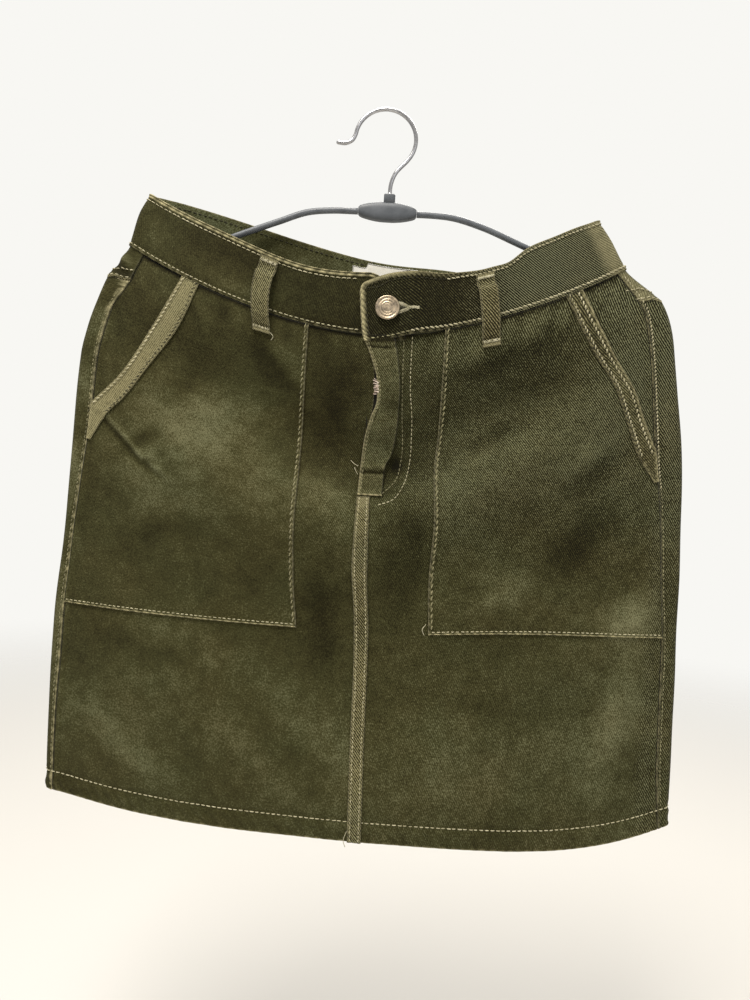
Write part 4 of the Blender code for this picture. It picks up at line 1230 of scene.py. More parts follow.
def fine_at_ends(start: float, end: float, pitch: float) -> Grid:
    """Places from start to end, close at both ends and pitch apart between."""
    sign = 1 if end > start else -1
    near = [start + sign * e for e in FINE_EDGE]
    far = [end - sign * e for e in reversed(FINE_EDGE)]
    steps = max(2, round(abs(far[0] - near[-1]) / pitch))
    return np.array(near[:-1] + list(np.linspace(near[-1], far[0], steps + 1)) + far[1:])


def between(levels: Grid, left: Grid, right: Grid, pitch: float, fine: bool = True) -> tuple[Grid, Grid]:
    """Lays a grid between two edges, with one row at each level.

    Args:
        levels: The rows' levels.
        left: The left edge's x in each row.
        right: The right edge's x.
        pitch: The columns' spacing.
        fine: Whether the columns are closer at both edges.

    Returns:
        The grid's x and levels.
    """
    width = float(np.max(right - left))
    if not fine:
        share = np.linspace(0, 1, max(4, round(width / pitch)) + 1)[None, :]
        x = left[:, None] * (1 - share) + right[:, None] * share
        return x, levels[:, None] + 0 * x
    reach = FINE_EDGE[-1]
    room = right - left
    edge = np.minimum(1.0, room / (2.2 * reach))[:, None]
    close = np.array(FINE_EDGE[:-1])[None, :]
    near, far = left[:, None] + edge * close, right[:, None] - edge * close[:, ::-1]
    inner_left, inner_right = left[:, None] + edge * reach, right[:, None] - edge * reach
    share = np.linspace(0, 1, max(2, round((width - 2 * reach) / pitch)) + 1)[None, :]
    x = np.concatenate((near, inner_left * (1 - share) + inner_right * share, far), axis=1)
    return x, levels[:, None] + 0 * x


# ---- stitching


@dataclass(frozen=True)
class Thread:
    """Sewing thread and how it is stitched, in millimetres."""

    pitch: float = 3.9
    stitch: float = 3.1
    radius: float = 0.42
    proud: float = 0.30
    sunk: float = 0.35
    slant: float = 0.0
    sides: int = 5


TOPSTITCH = Thread()
FINE_STITCH = Thread(pitch=3.1, stitch=2.4, radius=0.33, proud=0.22)
ROPE_STITCH = Thread(pitch=4.2, stitch=3.5, radius=0.52, proud=0.22, sunk=0.3, slant=0.5)
BEAD_STITCH = Thread(pitch=3.4, stitch=2.9, radius=0.66, proud=0.25, sunk=0.35, slant=0.55, sides=6)
EDGE_STITCH = Thread(pitch=3.2, stitch=2.6, radius=0.5, proud=0.25, sunk=0.35, slant=0.3)
CORD_STITCH = Thread(pitch=2.7, stitch=2.0, radius=0.5, proud=0.2, sunk=0.35, slant=0.5)
HOLE_STITCH = Thread(pitch=3.4, stitch=1.9, radius=0.5, proud=0.0, sunk=0.5, slant=0.3)
TACK_STITCH = Thread(pitch=2.3, stitch=2.3, radius=0.36)
FOOT_STITCH = Thread(pitch=3.4, stitch=2.5, radius=0.4, proud=0.2)
FACING_STITCH = Thread(pitch=3.1, stitch=2.7, radius=0.48, proud=0.2, sunk=0.3, slant=0.55)


@dataclass
class Stitching:
    """Rows of stitches on one part of the skirt, joined as one piece."""

    name: str
    seed: int
    heap: Heap = field(default_factory=Heap)

    def __post_init__(self) -> None:
        """Seeds the small differences between stitches."""
        self.random = np.random.default_rng(self.seed)

    def row(self, turns: Grid, levels: Grid, lift: Grid | float, thread: Thread = TOPSTITCH) -> None:
        """Sews along a line on the cloth.

        Args:
            turns: Turns of the line's points, close together.
            levels: Their levels.
            lift: Height of the cloth's face above the form, where the row runs.
            thread: The thread and stitch.
        """
        turns, levels = np.broadcast_arrays(np.asarray(turns, float), np.asarray(levels, float))
        self.along(FORM.lay(turns, levels, lift), FORM.outward(turns, levels), thread)

    def along(self, points: Grid, normals: Grid, thread: Thread) -> None:
        """Sews along points in the skirt's millimetres."""
        reach = np.concatenate(([0.0], np.cumsum(np.linalg.norm(np.diff(points, axis=0), axis=1))))
        count = int(reach[-1] / thread.pitch)
        if count < 1:
            return
        starts = np.arange(count) * reach[-1] / count + self.random.uniform(-0.15, 0.15, count)
        lengths = thread.stitch * self.random.uniform(0.85, 1.1, count)

        def at(where: Grid, table: Grid) -> Grid:
            """Reads a table of vectors along the row."""
            return np.stack([np.interp(where, reach, table[:, k]) for k in range(3)], -1)

        # A stitch comes up out of the cloth, lies on it and goes back in: share, height, size
        sections = ((0.0, -thread.sunk, 0.45), (0.16, 0.1, 0.85), (0.5, thread.proud, 1.0),
                    (0.84, 0.1, 0.85), (1.0, -thread.sunk, 0.45))
        begin, end = at(starts, points), at(starts + lengths, points)
        run = end - begin
        run /= np.maximum(np.linalg.norm(run, axis=1, keepdims=True), 1e-9)
        jitter = self.random.uniform(-0.12, 0.12, len(starts))
        normal = at(starts + lengths / 2, normals)
        aside = np.cross(run, normal)
        for_rings = []
        for share, height, size in sections:
            centre = at(starts + lengths * share, points)
            centre = centre + normal * height + aside * ((jitter + thread.slant) * (2 * share - 1))[:, None]
            for k in range(thread.sides):
                angle = 2 * math.pi * k / thread.sides
                offset = aside * math.cos(angle) + normal * math.sin(angle)
                for_rings.append(centre + offset * thread.radius * size)
        rings = np.stack(for_rings, 1)
        per = len(sections) * thread.sides
        block = grid_faces(len(sections), thread.sides, closed=True).tolist()
        caps = [list(range(thread.sides))[::-1], list(range(per - thread.sides, per))]
        vertices = place(rings.reshape(-1, 3))
        faces = [[k + i * per for k in face] for i in range(len(starts)) for face in block + caps]
        self.heap.add(vertices, faces)

    def front_row(self, line: Places, lift: float, thread: Thread = TOPSTITCH) -> None:
        """Sews along a soft line on the front, given as x and level."""
        length = sum(math.dist(a, b) for a, b in zip(line, line[1:]))
        path = through(line, max(6, int(length / 2)))
        self.row(FORM.front_turn(path[:, 0], path[:, 1]), path[:, 1], lift, thread)

    def make(self, finish: Finish) -> None:
        """Joins the rows as one piece."""
        self.heap.piece(self.name, finish)


# ---- front panels


FOLD_LEVELS = HEM_LEVEL + HEM_FOLD


def hem_inner(levels: Grid) -> Grid:
    """Inner face of a panel: one layer of cloth, and two in the hem."""
    return -CLOTH - (HEM_WALL - CLOTH) * ease(FOLD_LEVELS + 0.3, FOLD_LEVELS - 0.9, levels)


def band_painted_shadow(levels: Grid) -> Grid:
    """Painted shadow in the corner under the waistband."""
    return -0.45 * bell(levels, BAND_LEVEL - 0.5, 2.2)


HEM_EDGE = RopedEdge(width=HEM_STITCH, pitch=7.3, slant=0.25, puff=0.2, rubbed=0.16, rim=0.42, rim_width=1.4)
LEFT_SEAM = RopedEdge(width=2.4, pitch=4.2, slant=0.8, puff=0.35, rubbed=0.6, rim=0.7, rim_width=0.9)
RIGHT_SEAM = RopedEdge(width=2.6, pitch=3.6, slant=0.8, puff=0.35, rubbed=0.25, rim=0.5, rim_width=0.9)
PLAIN_EDGE = RopedEdge(width=4.6, pitch=7.5, puff=0.18, rubbed=0.2, rim=0.0, groove=0.3)


@dataclass
class FrontPanels:
    """The two front panels with their turned-up hems."""

    pitch: float = 2.1
    cut_left: Cut = Cut(224, 417, 0.93)
    cut_right: Cut = Cut(230, 417, 0.92)

    def make(self) -> None:
        """Builds both panels."""
        levels = fine_at_ends(BAND_LEVEL - SEAM_GAP, HEM_LEVEL, self.pitch)
        left, right = (FORM.seam_x(side, levels, SIDE_GAP / 2) for side in ("left", "right"))
        centre = FORM.girth("centre", levels)
        sides = (("front_panel_left", left, centre - SEAM_GAP / 2, self.cut_left, 11.0, Margin.LEFT),
                 ("front_panel_right", centre + SEAM_GAP / 2, right, self.cut_right, 23.0, Margin.RIGHT))
        for name, low, high, cut, number, side in sides:
            x, rows = between(levels, low, high, self.pitch)
            # Their tone holds painted shadow under the waistband.
            ClothPiece(
                name, FORM.front_turn(x, rows), rows, hem_inner(rows), 0.0, number=number,
                edges={Margin.BOTTOM: HEM_EDGE, side: PLAIN_EDGE}, tone=band_painted_shadow(rows),
            ).make(Finish.BODY_TWILL, cut, ["hanger_arms", "waistband_underlap"])


# ---- back and yoke


YOKE_FRONT = -53.0             # level where the yoke's seam meets the side seams
YOKE_STITCH_ENDS = -57.0       # level at which its stitches stop there
YOKE_LINE = (
    (0.94, -47.0), (1.0, -53.0), (1.5, -58.0), (2.0, -62.0), (2.25, -72.0), (2.5, -84.0),
    (2.75, -74.0), (3.0, -64.0), (3.5, -61.0), (4.0, -57.0), (4.05, -50.0),
)


@dataclass
class BackBody:
    """The back panel and yoke, which both reach round the side folds to the side seams."""

    columns: int = 170
    fold_columns: int = 9
    pitch: float = 2.8
    tucked: float = 0.5            # how far the yoke's top reaches into the band
    cut_yoke: Cut = Cut(492, 50, 0.68)
    cut_back: Cut = Cut(500, 392, 0.95)
    allowance: float = 5.0
    cut_allowance: Cut = Cut(10, 390)
    yoke_rows: int = 22
    right_steps: int = 7           # columns from the right side seam to its fold
    left_steps: int = 6

    def turns(self, level: Grid) -> Grid:
        """Turns of one grid row from the right side seam round the back to the left one."""
        right = FORM.seam_turn("right", level, -SIDE_GAP / 2)
        left = 4 + FORM.seam_turn("left", level, -SIDE_GAP / 2)
        inner = spaced((1.0, 2.0, self.fold_columns), (2.0, 3.0, self.columns), (3.0, 4.0, self.fold_columns))
        start = [right + (1 - right) * k / self.right_steps for k in range(self.right_steps)]
        end = [4 + (left - 4) * k / self.left_steps for k in range(1, self.left_steps + 1)]
        middle = np.broadcast_to(inner, (len(level), len(inner)))
        return np.concatenate([np.stack(start, -1), middle, np.stack(end, -1)], axis=1)

    def grid(self, levels: Grid) -> Grid:
        """Turns of a grid whose rows needn't be level."""
        return np.stack([self.turns(levels[:, j])[:, j] for j in range(levels.shape[1])], axis=1)

    def make(self) -> None:
        """Builds the yoke and the back panel."""
        line = read(YOKE_LINE, self.turns(np.array([YOKE_FRONT])))[0]
        top = BAND_LEVEL + self.tucked
        low = line + SEAM_GAP / 2
        levels = top + (low - top)[None, :] * np.linspace(0, 1, self.yoke_rows)[:, None]
        ClothPiece(
            "back_yoke", self.grid(levels), levels, -CLOTH, 0.0, number=31.0,
            edges={Margin.BOTTOM: RopedEdge(width=5.0, pitch=6.5, puff=0.25, rubbed=0.3, rim=0.6)},
            wear=0.34 * ease(1.5, 1.05, self.grid(levels)),
        ).make(Finish.BODY_TWILL, self.cut_yoke, ["waistband_back_left", "waistband_back_right"])

        start = line - SEAM_GAP / 2
        down = fine_at_ends(-50.0, HEM_LEVEL, self.pitch)
        share = ((down - down[0]) / (down[-1] - down[0]))[:, None]
        levels = start[None, :] + (HEM_LEVEL - start)[None, :] * share
        ClothPiece(
            "back_panel", self.grid(levels), levels, hem_inner(levels), 0.0, number=47.0,
            edges={Margin.BOTTOM: HEM_EDGE, Margin.LEFT: RIGHT_SEAM, Margin.RIGHT: LEFT_SEAM},
        ).make(Finish.BODY_TWILL, self.cut_back, ["hanger_arms", "back_yoke"])
        self.make_allowances()

    def make_allowances(self) -> None:
        """Builds the pressed-back strip inside each side seam, which closes it from within."""
        rows = np.linspace(BAND_LEVEL - 1.0, HEM_LEVEL + 14.0, 130)
        share = np.linspace(0, 1, 9)[None, :]
        for side, number in (("left", 83.0), ("right", 89.0)):
            ends = [FORM.seam_turn(side, rows, reach)[:, None] for reach in (-self.allowance, self.allowance)]
            turns = np.minimum(*ends) * (1 - share) + np.maximum(*ends) * share
            ClothPiece(
                "seam_allowance_" + side, turns, rows[:, None] + 0 * turns, -CLOTH - 1.0, -CLOTH - 0.1,
                number=number, rounding=0.3, tone=-0.2,
            ).make(Finish.BODY_TWILL, self.cut_allowance, ["back_panel"], ())


# ---- waistband


BAND_TOP = RopedEdge(
    width=4.4, pitch=7.0, puff=0.2, rubbed=0.25, rim=1.1, rim_width=0.8, groove=0.35, second=0.95
)
LAP_TOP = RopedEdge(
    width=4.4, pitch=3.4, slant=0.9, puff=0.3, rubbed=0.45, rim=0.85, rim_width=0.9, groove=0.3
)
BACK_TOP = RopedEdge(width=3.6, pitch=6.6, puff=0.2, rubbed=0.3, rim=1.15, rim_width=1.0, groove=0.35)
BAND_FOOT = RopedEdge(width=3.2, pitch=6.4, puff=0.2, rubbed=0.3, rim=0.35, rim_width=0.7, groove=0.3)


@dataclass
class Waistband:
    """Underlap, overlap and the back's two halves, which meet at the side folds."""

    overlap_edge: float = -0.043
    lap_droop: float = 6.6         # how far the loose end hangs below the rest of the band
    underlap_reach: float = 14.0
    lap_from: float = 46.0
    lap_to: float = 19.0
    lap_corner: float = 4.0
    lap_slope: float = 4.6         # how far the lap's top falls towards its corner
    lap_slope_reach: float = 27.0
    rim_rows_to: float = -4.0      # rows lie closer above this level and below the next
    foot_rows_from: float = -30.0
    rows: int = 20
    cut_underlap: Cut = Cut(208, 36)
    cut_overlap: Cut = Cut(180, 36)
    cut_back: Cut = Cut(172, 36)

    def lap_lift(self, x: Grid) -> Grid:
        """How far the overlap stands off the form at x, to clear the underlap."""
        return (BAND_OUT - BAND_IN + SEAM_GAP) * ease(self.lap_from, self.lap_to, x)

    def make(self) -> None:
        """Builds the four parts of the band."""
        levels = spaced(
            (WAIST_LEVEL, self.rim_rows_to, 12), (self.rim_rows_to, self.foot_rows_from, self.rows),
            (self.foot_rows_from, BAND_LEVEL, 8),
        )[:, None]
        fold_gap = SEAM_GAP / 2 / (math.pi * GIRTHS[0].fold)
        left_fold, right_fold = -0.5, 1.5
        both = {Margin.TOP: BAND_TOP, Margin.BOTTOM: BAND_FOOT}

        end = float(FORM.front_turn(self.underlap_reach, BAND_LEVEL))
        turns = spaced((left_fold + fold_gap, 0.0, 7), (0.0, end, 110))[None, :]
        x = FORM.skin(turns, levels)[..., 0]
        tucked = 4.5 * ease(-14.0, 0.0, x)
        ClothPiece(
            "waistband_underlap", turns + 0 * levels, levels - tucked, BAND_IN, BAND_OUT, both,
            number=53.0, twill=0.5, tone=-0.02 - 0.18 * ease(-110.0, -50.0, x), rounding=0.9, sloping=True,
        ).make(Finish.BAND_TWILL, self.cut_underlap, ["hanger_arms"])

        edge = (self.overlap_edge + 1) / 2
        close = edge + 0.03
        turns = spaced((edge, close, 10), (close, 1.0, 90), (1.0, right_fold - fold_gap, 6))[None, :]
        x = FORM.skin(turns, levels)[..., 0]
        lift = self.lap_lift(x)
        from_edge = x[0] - x[0, 0]
        near = np.clip(from_edge, 0, self.lap_corner)
        cut = self.lap_corner - np.sqrt(self.lap_corner ** 2 - (self.lap_corner - near) ** 2)
        cut = cut + self.lap_slope * np.clip(1 - from_edge / self.lap_slope_reach, 0, 1) ** 2
        droop = self.lap_droop * ease(30.0, -22.0, x) * (0.5 + 0.5 * levels / BAND_LEVEL)
        cut_levels = levels - cut[None, :] * (1 - levels / BAND_LEVEL) - droop
        lap_edge = RopedEdge(width=4.8, pitch=3.6, slant=0.8, puff=0.2, rubbed=0.75, rim=0.95, rim_width=3.0)
        fold_wear = 0.42 * ease(0.955, 0.995, turns + 0 * levels)
        rim_wear = 0.6 * ease(-1.4, 1.6, levels) * ease(54.0, 6.0, x)
        ClothPiece(
            "waistband_overlap", turns + 0 * levels, cut_levels, BAND_IN + lift, BAND_OUT + lift,
            {Margin.TOP: LAP_TOP, Margin.BOTTOM: BAND_FOOT, Margin.LEFT: lap_edge}, number=61.0,
            twill=0.65 + 1.4 * ease(40.0, 90.0, x), rounding=0.9, evenly=True, sloping=True,
            tone=-0.08 - 0.28 * ease(110.0, 60.0, x), wear=np.maximum(fold_wear, rim_wear),
        ).make(Finish.BAND_TWILL, self.cut_overlap, ["hanger_arms"])

        half_seam = 0.00002            # in turns
        right = ((right_fold + fold_gap, 2.0, 6), (2.0, 2.5 - half_seam, 85))
        left = ((2.5 + half_seam, 3.0, 85), (3.0, 4 + left_fold - fold_gap, 6))
        for name, stretches in (("waistband_back_right", right), ("waistband_back_left", left)):
            turns = spaced(*stretches)[None, :]
            ClothPiece(
                name, turns + 0 * levels, levels + 0 * turns, BAND_IN, BAND_OUT,
                {Margin.TOP: BACK_TOP, Margin.BOTTOM: BAND_FOOT},
                number=67.0, twill=0.9, rounding=0.9, sloping=True,
            ).make(Finish.BAND_TWILL, self.cut_back, ["hanger_arms"])


# ---- pockets


LEFT_MOUTH = ((-35, -147.5), (-82, -169.5), (-122, -189), (-150, -210))
LEFT_FACING = ((-35, -134.5), (-68, -146.7), (-103, -165.3), (-139, -184.8), (-155, -197), (-178, -208.6))
LEFT_POCKET = ((-35, -54.4), (-133, -55), (-219, -55.6), (-264, -54.3), (-300, -50.6))
RIGHT_MOUTH = ((-35, 140), (-55, 153), (-89, 170.5), (-115, 184), (-134, 190.6), (-161, 202))
RIGHT_FACING = (
    (-35, 127.2), (-52, 138.5), (-81, 154.4), (-104, 166.1), (-131, 176.2), (-163, 188.2), (-184, 201),
)
RIGHT_POCKET = ((-35, 42.6), (-131, 42.5), (-165, 40.8), (-224, 42), (-258, 41.4), (-300, 43.5))
LEFT_BOW, RIGHT_BOW = 1.0, 3.5     # how far the pockets' bottoms rise in their middles

POCKET_SIDE = RopedEdge(width=4.0, pitch=5.6, slant=0.9, puff=0.35, rubbed=0.42, rim=0.5, rim_width=1.0)
POCKET_FOOT = RopedEdge(width=2.8, pitch=6.2, slant=0.9, puff=0.3, rubbed=0.35, rim=0.85, rim_width=0.9)
MOUTH_EDGE = RopedEdge(width=3.2, pitch=4.8, slant=1.0, puff=0.3, rubbed=0.5, rim=0.85, rim_width=1.2)
FACING_EDGE = RopedEdge(width=3.0, pitch=5.4, slant=1.0, puff=0.25, rubbed=0.42, rim=0.45, rim_width=0.9)


@dataclass
class PatchPocket:
    """A patch pocket with a slanted mouth and the faced edge of that mouth."""

    side: str
    mouth: Places
    facing: Places
    inner_edge: Places
    bow: float
    number: float
    cut: Cut = Cut(176, 272, 0.85)
    cut_facing: Cut = Cut(15, 165)
    bottom: float = -300.0
    pitch: float = 2.1
    facing_wall: float = 1.0

    @property
    def is_left(self) -> bool:
        """Whether this is the left pocket."""
        return self.side == "left"

    def outer_x(self, level: Grid) -> Grid:
        """x of the pocket's mouth and, below it, of the side seam."""
        return np.where(level > self.mouth[-1][0], read(self.mouth, level), FORM.seam_x(self.side, level))

    def ends(self, levels: Grid, inner_edge: Places) -> tuple[Grid, Grid]:
        """x of the left and right ends of each row, out to the mouth from an inner edge."""
        both = self.outer_x(levels), read(inner_edge, levels)
        return both if self.is_left else both[::-1]

    def bowed(self, levels: Grid, x: Grid) -> Grid:
        """Levels of the grid with the bottom edge raised in its middle."""
        down = (levels - levels[:1]) / (levels[-1:] - levels[:1])
        across = (x - x[:, :1]) / (x[:, -1:] - x[:, :1])
        return levels + self.bow * down ** 3 * np.sin(math.pi * across)

    def make(self) -> None:
        """Builds the pocket and its facing."""
        top = BAND_LEVEL - SEAM_GAP
        margins = (Margin.LEFT, Margin.RIGHT)
        outer_margin, inner_margin = margins if self.is_left else margins[::-1]
        levels = fine_at_ends(top, self.bottom, self.pitch)
        x, rows = between(levels, *self.ends(levels, self.inner_edge), self.pitch)
        rows = self.bowed(rows, x)
        # Its tone holds painted shadow under the waistband.
        ClothPiece(
            "pocket_" + self.side, FORM.front_turn(x, rows), rows, LAY_GAP, LAY_GAP + CLOTH,
            {inner_margin: POCKET_SIDE, Margin.BOTTOM: POCKET_FOOT}, number=self.number, rounding=0.6,
            tone=band_painted_shadow(rows),
        ).make(Finish.BODY_TWILL, self.cut, ["front_panel_" + self.side])

        levels = fine_at_ends(top, self.facing[-1][0], 1.5)
        low, high = self.ends(levels, self.facing)
        x, rows = between(levels, low, np.maximum(high, low + 0.6), 1.1, fine=False)
        bottom = 2 * LAY_GAP + CLOTH
        twill, tone, wear = (1.3, 0.46, 0.24) if self.is_left else (0.85, -0.12, 0.12)
        ClothPiece(
            "pocket_facing_" + self.side, FORM.front_turn(x, rows), rows, bottom, bottom + self.facing_wall,
            {outer_margin: MOUTH_EDGE, inner_margin: FACING_EDGE}, number=self.number + 3, rounding=0.5,
            evenly=True, twill=twill, tone=tone, wear=wear,
        ).make(Finish.LOOP_TWILL, self.cut_facing, ["pocket_" + self.side])


# ---- fly


PLACKET_STAND = (
    (-195, 0), (-185, 0.6), (-165, 2.4), (-145, 1.0), (-110, 1.8), (-70, 1.8), (-45, 0.8), (-36, 0),
)
PLACKET_LEFT = (
    (-38, -14.8), (-55, -9.1), (-79, -3.7), (-98, -2.9), (-120, -7), (-141, -10.4), (-161, -11.7),
    (-195, -13),
)
PLACKET_RIGHT = (
    (-38, 7.4), (-63, 11.2), (-90, 13.1), (-119, 12.9), (-150, 10.7), (-167, 5.8), (-195, 4.8),
)
# Folds of the placket: level at its left edge, lean to its right, half breadth and push
PLACKET_FOLDS = (
    (-171.5, -1.5, 2.0, -1.3), (-166.5, 0.0, 3.0, 0.8), (-118.0, 9.0, 6.0, -0.6), (-45.0, -2.0, 2.2, -0.9),
)
GUARD_EDGE = ((-36, -8.0), (-55, -7.0), (-75, -5.4), (-98, -5.0), (-125, -7.4), (-136, -11.0))
TAPE_LEFT = ((-38, -10.8), (-130, -9.6))
TAPE_RIGHT = ((-38, -2.2), (-130, 1.0))
FELL_LEFT = (
    (-197, -13.2), (-250, -13.7), (-290, -10.1), (-330, -8.2), (-373, -7.5), (-410, -6.4), (-438, -5.5),
)
FELL_RIGHT = (
    (-197, -3.8), (-260, -2.4), (-300, 0.9), (-329, 1.7), (-372, 2.4), (-409, 3.5), (-438, 4.3),
)


@dataclass
class Fly:
    """The placket that gapes over the zip, the zip tape and the felled seam below."""

    top: float = BAND_LEVEL - SEAM_GAP - 0.6
    zip_end: float = -130.0
    end: float = -195.0
    over_tape: float = 1.3
    arch: float = 1.4
    placket_wall: float = 1.4
    fell_wall: float = 1.0
    cut_placket: Cut = Cut(20, 158)
    cut_fell: Cut = Cut(11, 243)
    cut_tape: Cut = Cut(10.5, 95, 0.8)
    cut_guard: Cut = Cut(12, 101, 0.5)

    def placket_lift(self, level: Grid, across: Grid) -> Grid:
        """Height of the placket's inner face above the form."""
        over_tape = self.over_tape * np.clip((level - self.zip_end) / 20 + 1, 0, 1)
        arch = self.arch * np.sin(math.pi * across) * np.clip((level - self.end) / 25, 0, 1)
        stand = read(PLACKET_STAND, level)
        return LAY_GAP + over_tape + arch + stand * across ** 2

    def make(self) -> None:
        """Builds the tape, the coil, the placket, the guard beside it and the felled seam."""
        levels = np.linspace(self.top, self.zip_end, 60)
        x, rows = between(levels, read(TAPE_LEFT, levels), read(TAPE_RIGHT, levels), 1.3, fine=False)
        ClothPiece(
            "zip_tape", FORM.front_turn(x, rows), rows, 0.05, 0.45, number=71.0, rounding=0.15
        ).make(Finish.ZIP_TAPE, self.cut_tape, ["front_panel_left"])
        self.make_guard()

        levels = np.linspace(self.top, self.end, 110)
        x, rows = between(levels, read(PLACKET_LEFT, levels), read(PLACKET_RIGHT, levels), 1.2, fine=False)
        across = (x - x[:, :1]) / (x[:, -1:] - x[:, :1])
        under = self.placket_lift(rows, across)
        edges = {
            Margin.LEFT: RopedEdge(3.0, 3.4, slant=0.6, puff=0.35, rubbed=0.5, rim=0.8, rim_width=1.1),
            Margin.RIGHT: RopedEdge(3.0, 6.5, slant=0.4, puff=0.3, rubbed=0.25, rim=0.2),
            Margin.BOTTOM: RopedEdge(2.2, 5.0, puff=0.3, rubbed=0.4, rim=0.95, rim_width=1.3),
        }
        ClothPiece(
            "fly_placket", FORM.front_turn(x, rows), rows, under, under + self.placket_wall, edges,
            number=73.0, rounding=0.6, tone=self.placket_painted_shade(rows, across),
            dents=self.placket_folds(rows, across), twill=1.1,
        ).make(Finish.BODY_TWILL, self.cut_placket, ["front_panel_left", "front_panel_right"])

        levels = np.linspace(self.end - 1.0, HEM_LEVEL, 160)
        x, rows = between(levels, read(FELL_LEFT, levels), read(FELL_RIGHT, levels), 1.0, fine=False)
        edges = {
            Margin.LEFT: RopedEdge(3.2, 5.2, slant=1.0, puff=0.35, rubbed=0.5, rim=0.6, rim_width=0.9),
            Margin.RIGHT: RopedEdge(2.8, 5.8, slant=1.0, puff=0.3, rubbed=0.35, rim=0.4, rim_width=0.9),
        }
        top_wear = 0.2 * ease(-216.0, -198.0, rows)
        ClothPiece(
            "centre_front_seam", FORM.front_turn(x, rows), rows, LAY_GAP, LAY_GAP + self.fell_wall, edges,
            number=79.0, rounding=0.5, wear=0.1 + top_wear, evenly=True,
        ).make(Finish.LOOP_TWILL, self.cut_fell, ["front_panel_left", "front_panel_right"])
        self.make_coil()

    @staticmethod
    def placket_painted_shade(levels: Grid, across: Grid) -> Grid:
        """Tone of the placket: paler all over, with painted shade under the lap, in its tuck, in its lower
        kink and towards its right edge near level -100.
        """
        kink = 0.35 * bell(levels, -171.5, 1.8)
        tuck = 0.5 * bell(levels, -45.5 - 1.5 * across, 1.1) * ease(0.95, 0.6, across)
        hollow = 0.16 * bell(levels, -100.0, 16.0) * ease(0.0, 0.6, across)
        return 0.16 - kink - tuck - hollow - 0.45 * ease(-43.5, -40.0, levels)

    @staticmethod
    def placket_folds(levels: Grid, across: Grid) -> Grid:
        """The placket's own short folds, which the panels don't share."""
        return sum(push * bell(levels, at + lean * across, width) for at, lean, width, push in PLACKET_FOLDS)

    def make_guard(self) -> None:
        """The left panel's turned edge, which covers most of the zip tape."""
        levels = np.linspace(self.top + 0.2, -136.0, 56)
        centre = FORM.girth("centre", levels)
        edge = np.maximum(read(GUARD_EDGE, levels), centre + 1.2)
        x, rows = between(levels, centre - 2.6, edge, 0.8, fine=False)
        past = x - centre[:, None]
        rise = 0.08 + 1.5 * ease(-1.0, 5.0, past) - 0.5 * ease(-1.6, -2.6, past)
        edges = {Margin.RIGHT: RopedEdge(width=1.6, pitch=5.0, slant=0.5, puff=0.15, rubbed=0.15, rim=0.25)}
        ClothPiece(
            "fly_guard", FORM.front_turn(x, rows), rows, rise - 0.9, rise, edges, number=11.0, rounding=0.4,
        ).make(Finish.BODY_TWILL, self.cut_guard, ["front_panel_left"], ())

    def make_coil(self) -> None:
        """The nylon coil, bared and frayed where the placket stands away from it."""
        heap = Heap()
        random = np.random.default_rng(31)
        for level in np.arange(-77.0, -94.0, -1.55):
            bared = ease(-76.0, -80.0, level) * ease(-95.0, -91.0, level)
            x = float(read(PLACKET_LEFT, level)) - 1.6 + 0.5 * bared
            lean = random.uniform(-0.9, 0.9, 3)
            x += random.uniform(-0.5, 0.7)
            # x, height and how far each point of the loop is pulled down the tape
            spots = (
                (x - 1.3, 0.6, 0), (x - 0.3, 1.2 + 1.7 * bared, lean[0]),
                (x + 1.2, 3.5 * bared, lean[1]), (x + 2.6, 3.2 * bared, lean[2]),
            )
            at, up, down = np.array(spots).T
            points = FORM.lay(FORM.front_turn(at, level + down), level + down, up)
            heap.add_tube(place(through(points, 7)), (0.30 + 0.12 * bared) * MM, 6)
        heap.piece("zip_coil", Finish.ZIP_COIL)


# ---- loops and label


@dataclass(frozen=True)
class LoopPlace:
    """Where one belt loop is sewn, by the x of its middle line."""

    name: str
    on_front: bool
    top: float
    middle: float
    bottom: float
    seat: float                    # height of the cloth under its lower end
    rests_on: tuple[str, ...]


LOOPS = (
    LoopPlace("belt_loop_front_left", True, -84.8, -88.9, -87.4, 1.5, ("waistband_underlap",)),
    LoopPlace("belt_loop_front_right", True, 68.4, 72.4, 76.0, 1.5, ("waistband_overlap",)),
    LoopPlace("belt_loop_back_left", False, -104.0, -106.0, -108.0, 0.0, ("waistband_back_left",)),
    LoopPlace("belt_loop_back_centre", False, -12.5, -12.0, -11.5, 0.0,
              ("waistband_back_left", "waistband_back_right")),
    LoopPlace("belt_loop_back_right", False, 80.0, 84.0, 88.0, 0.0, ("waistband_back_right",)),
)


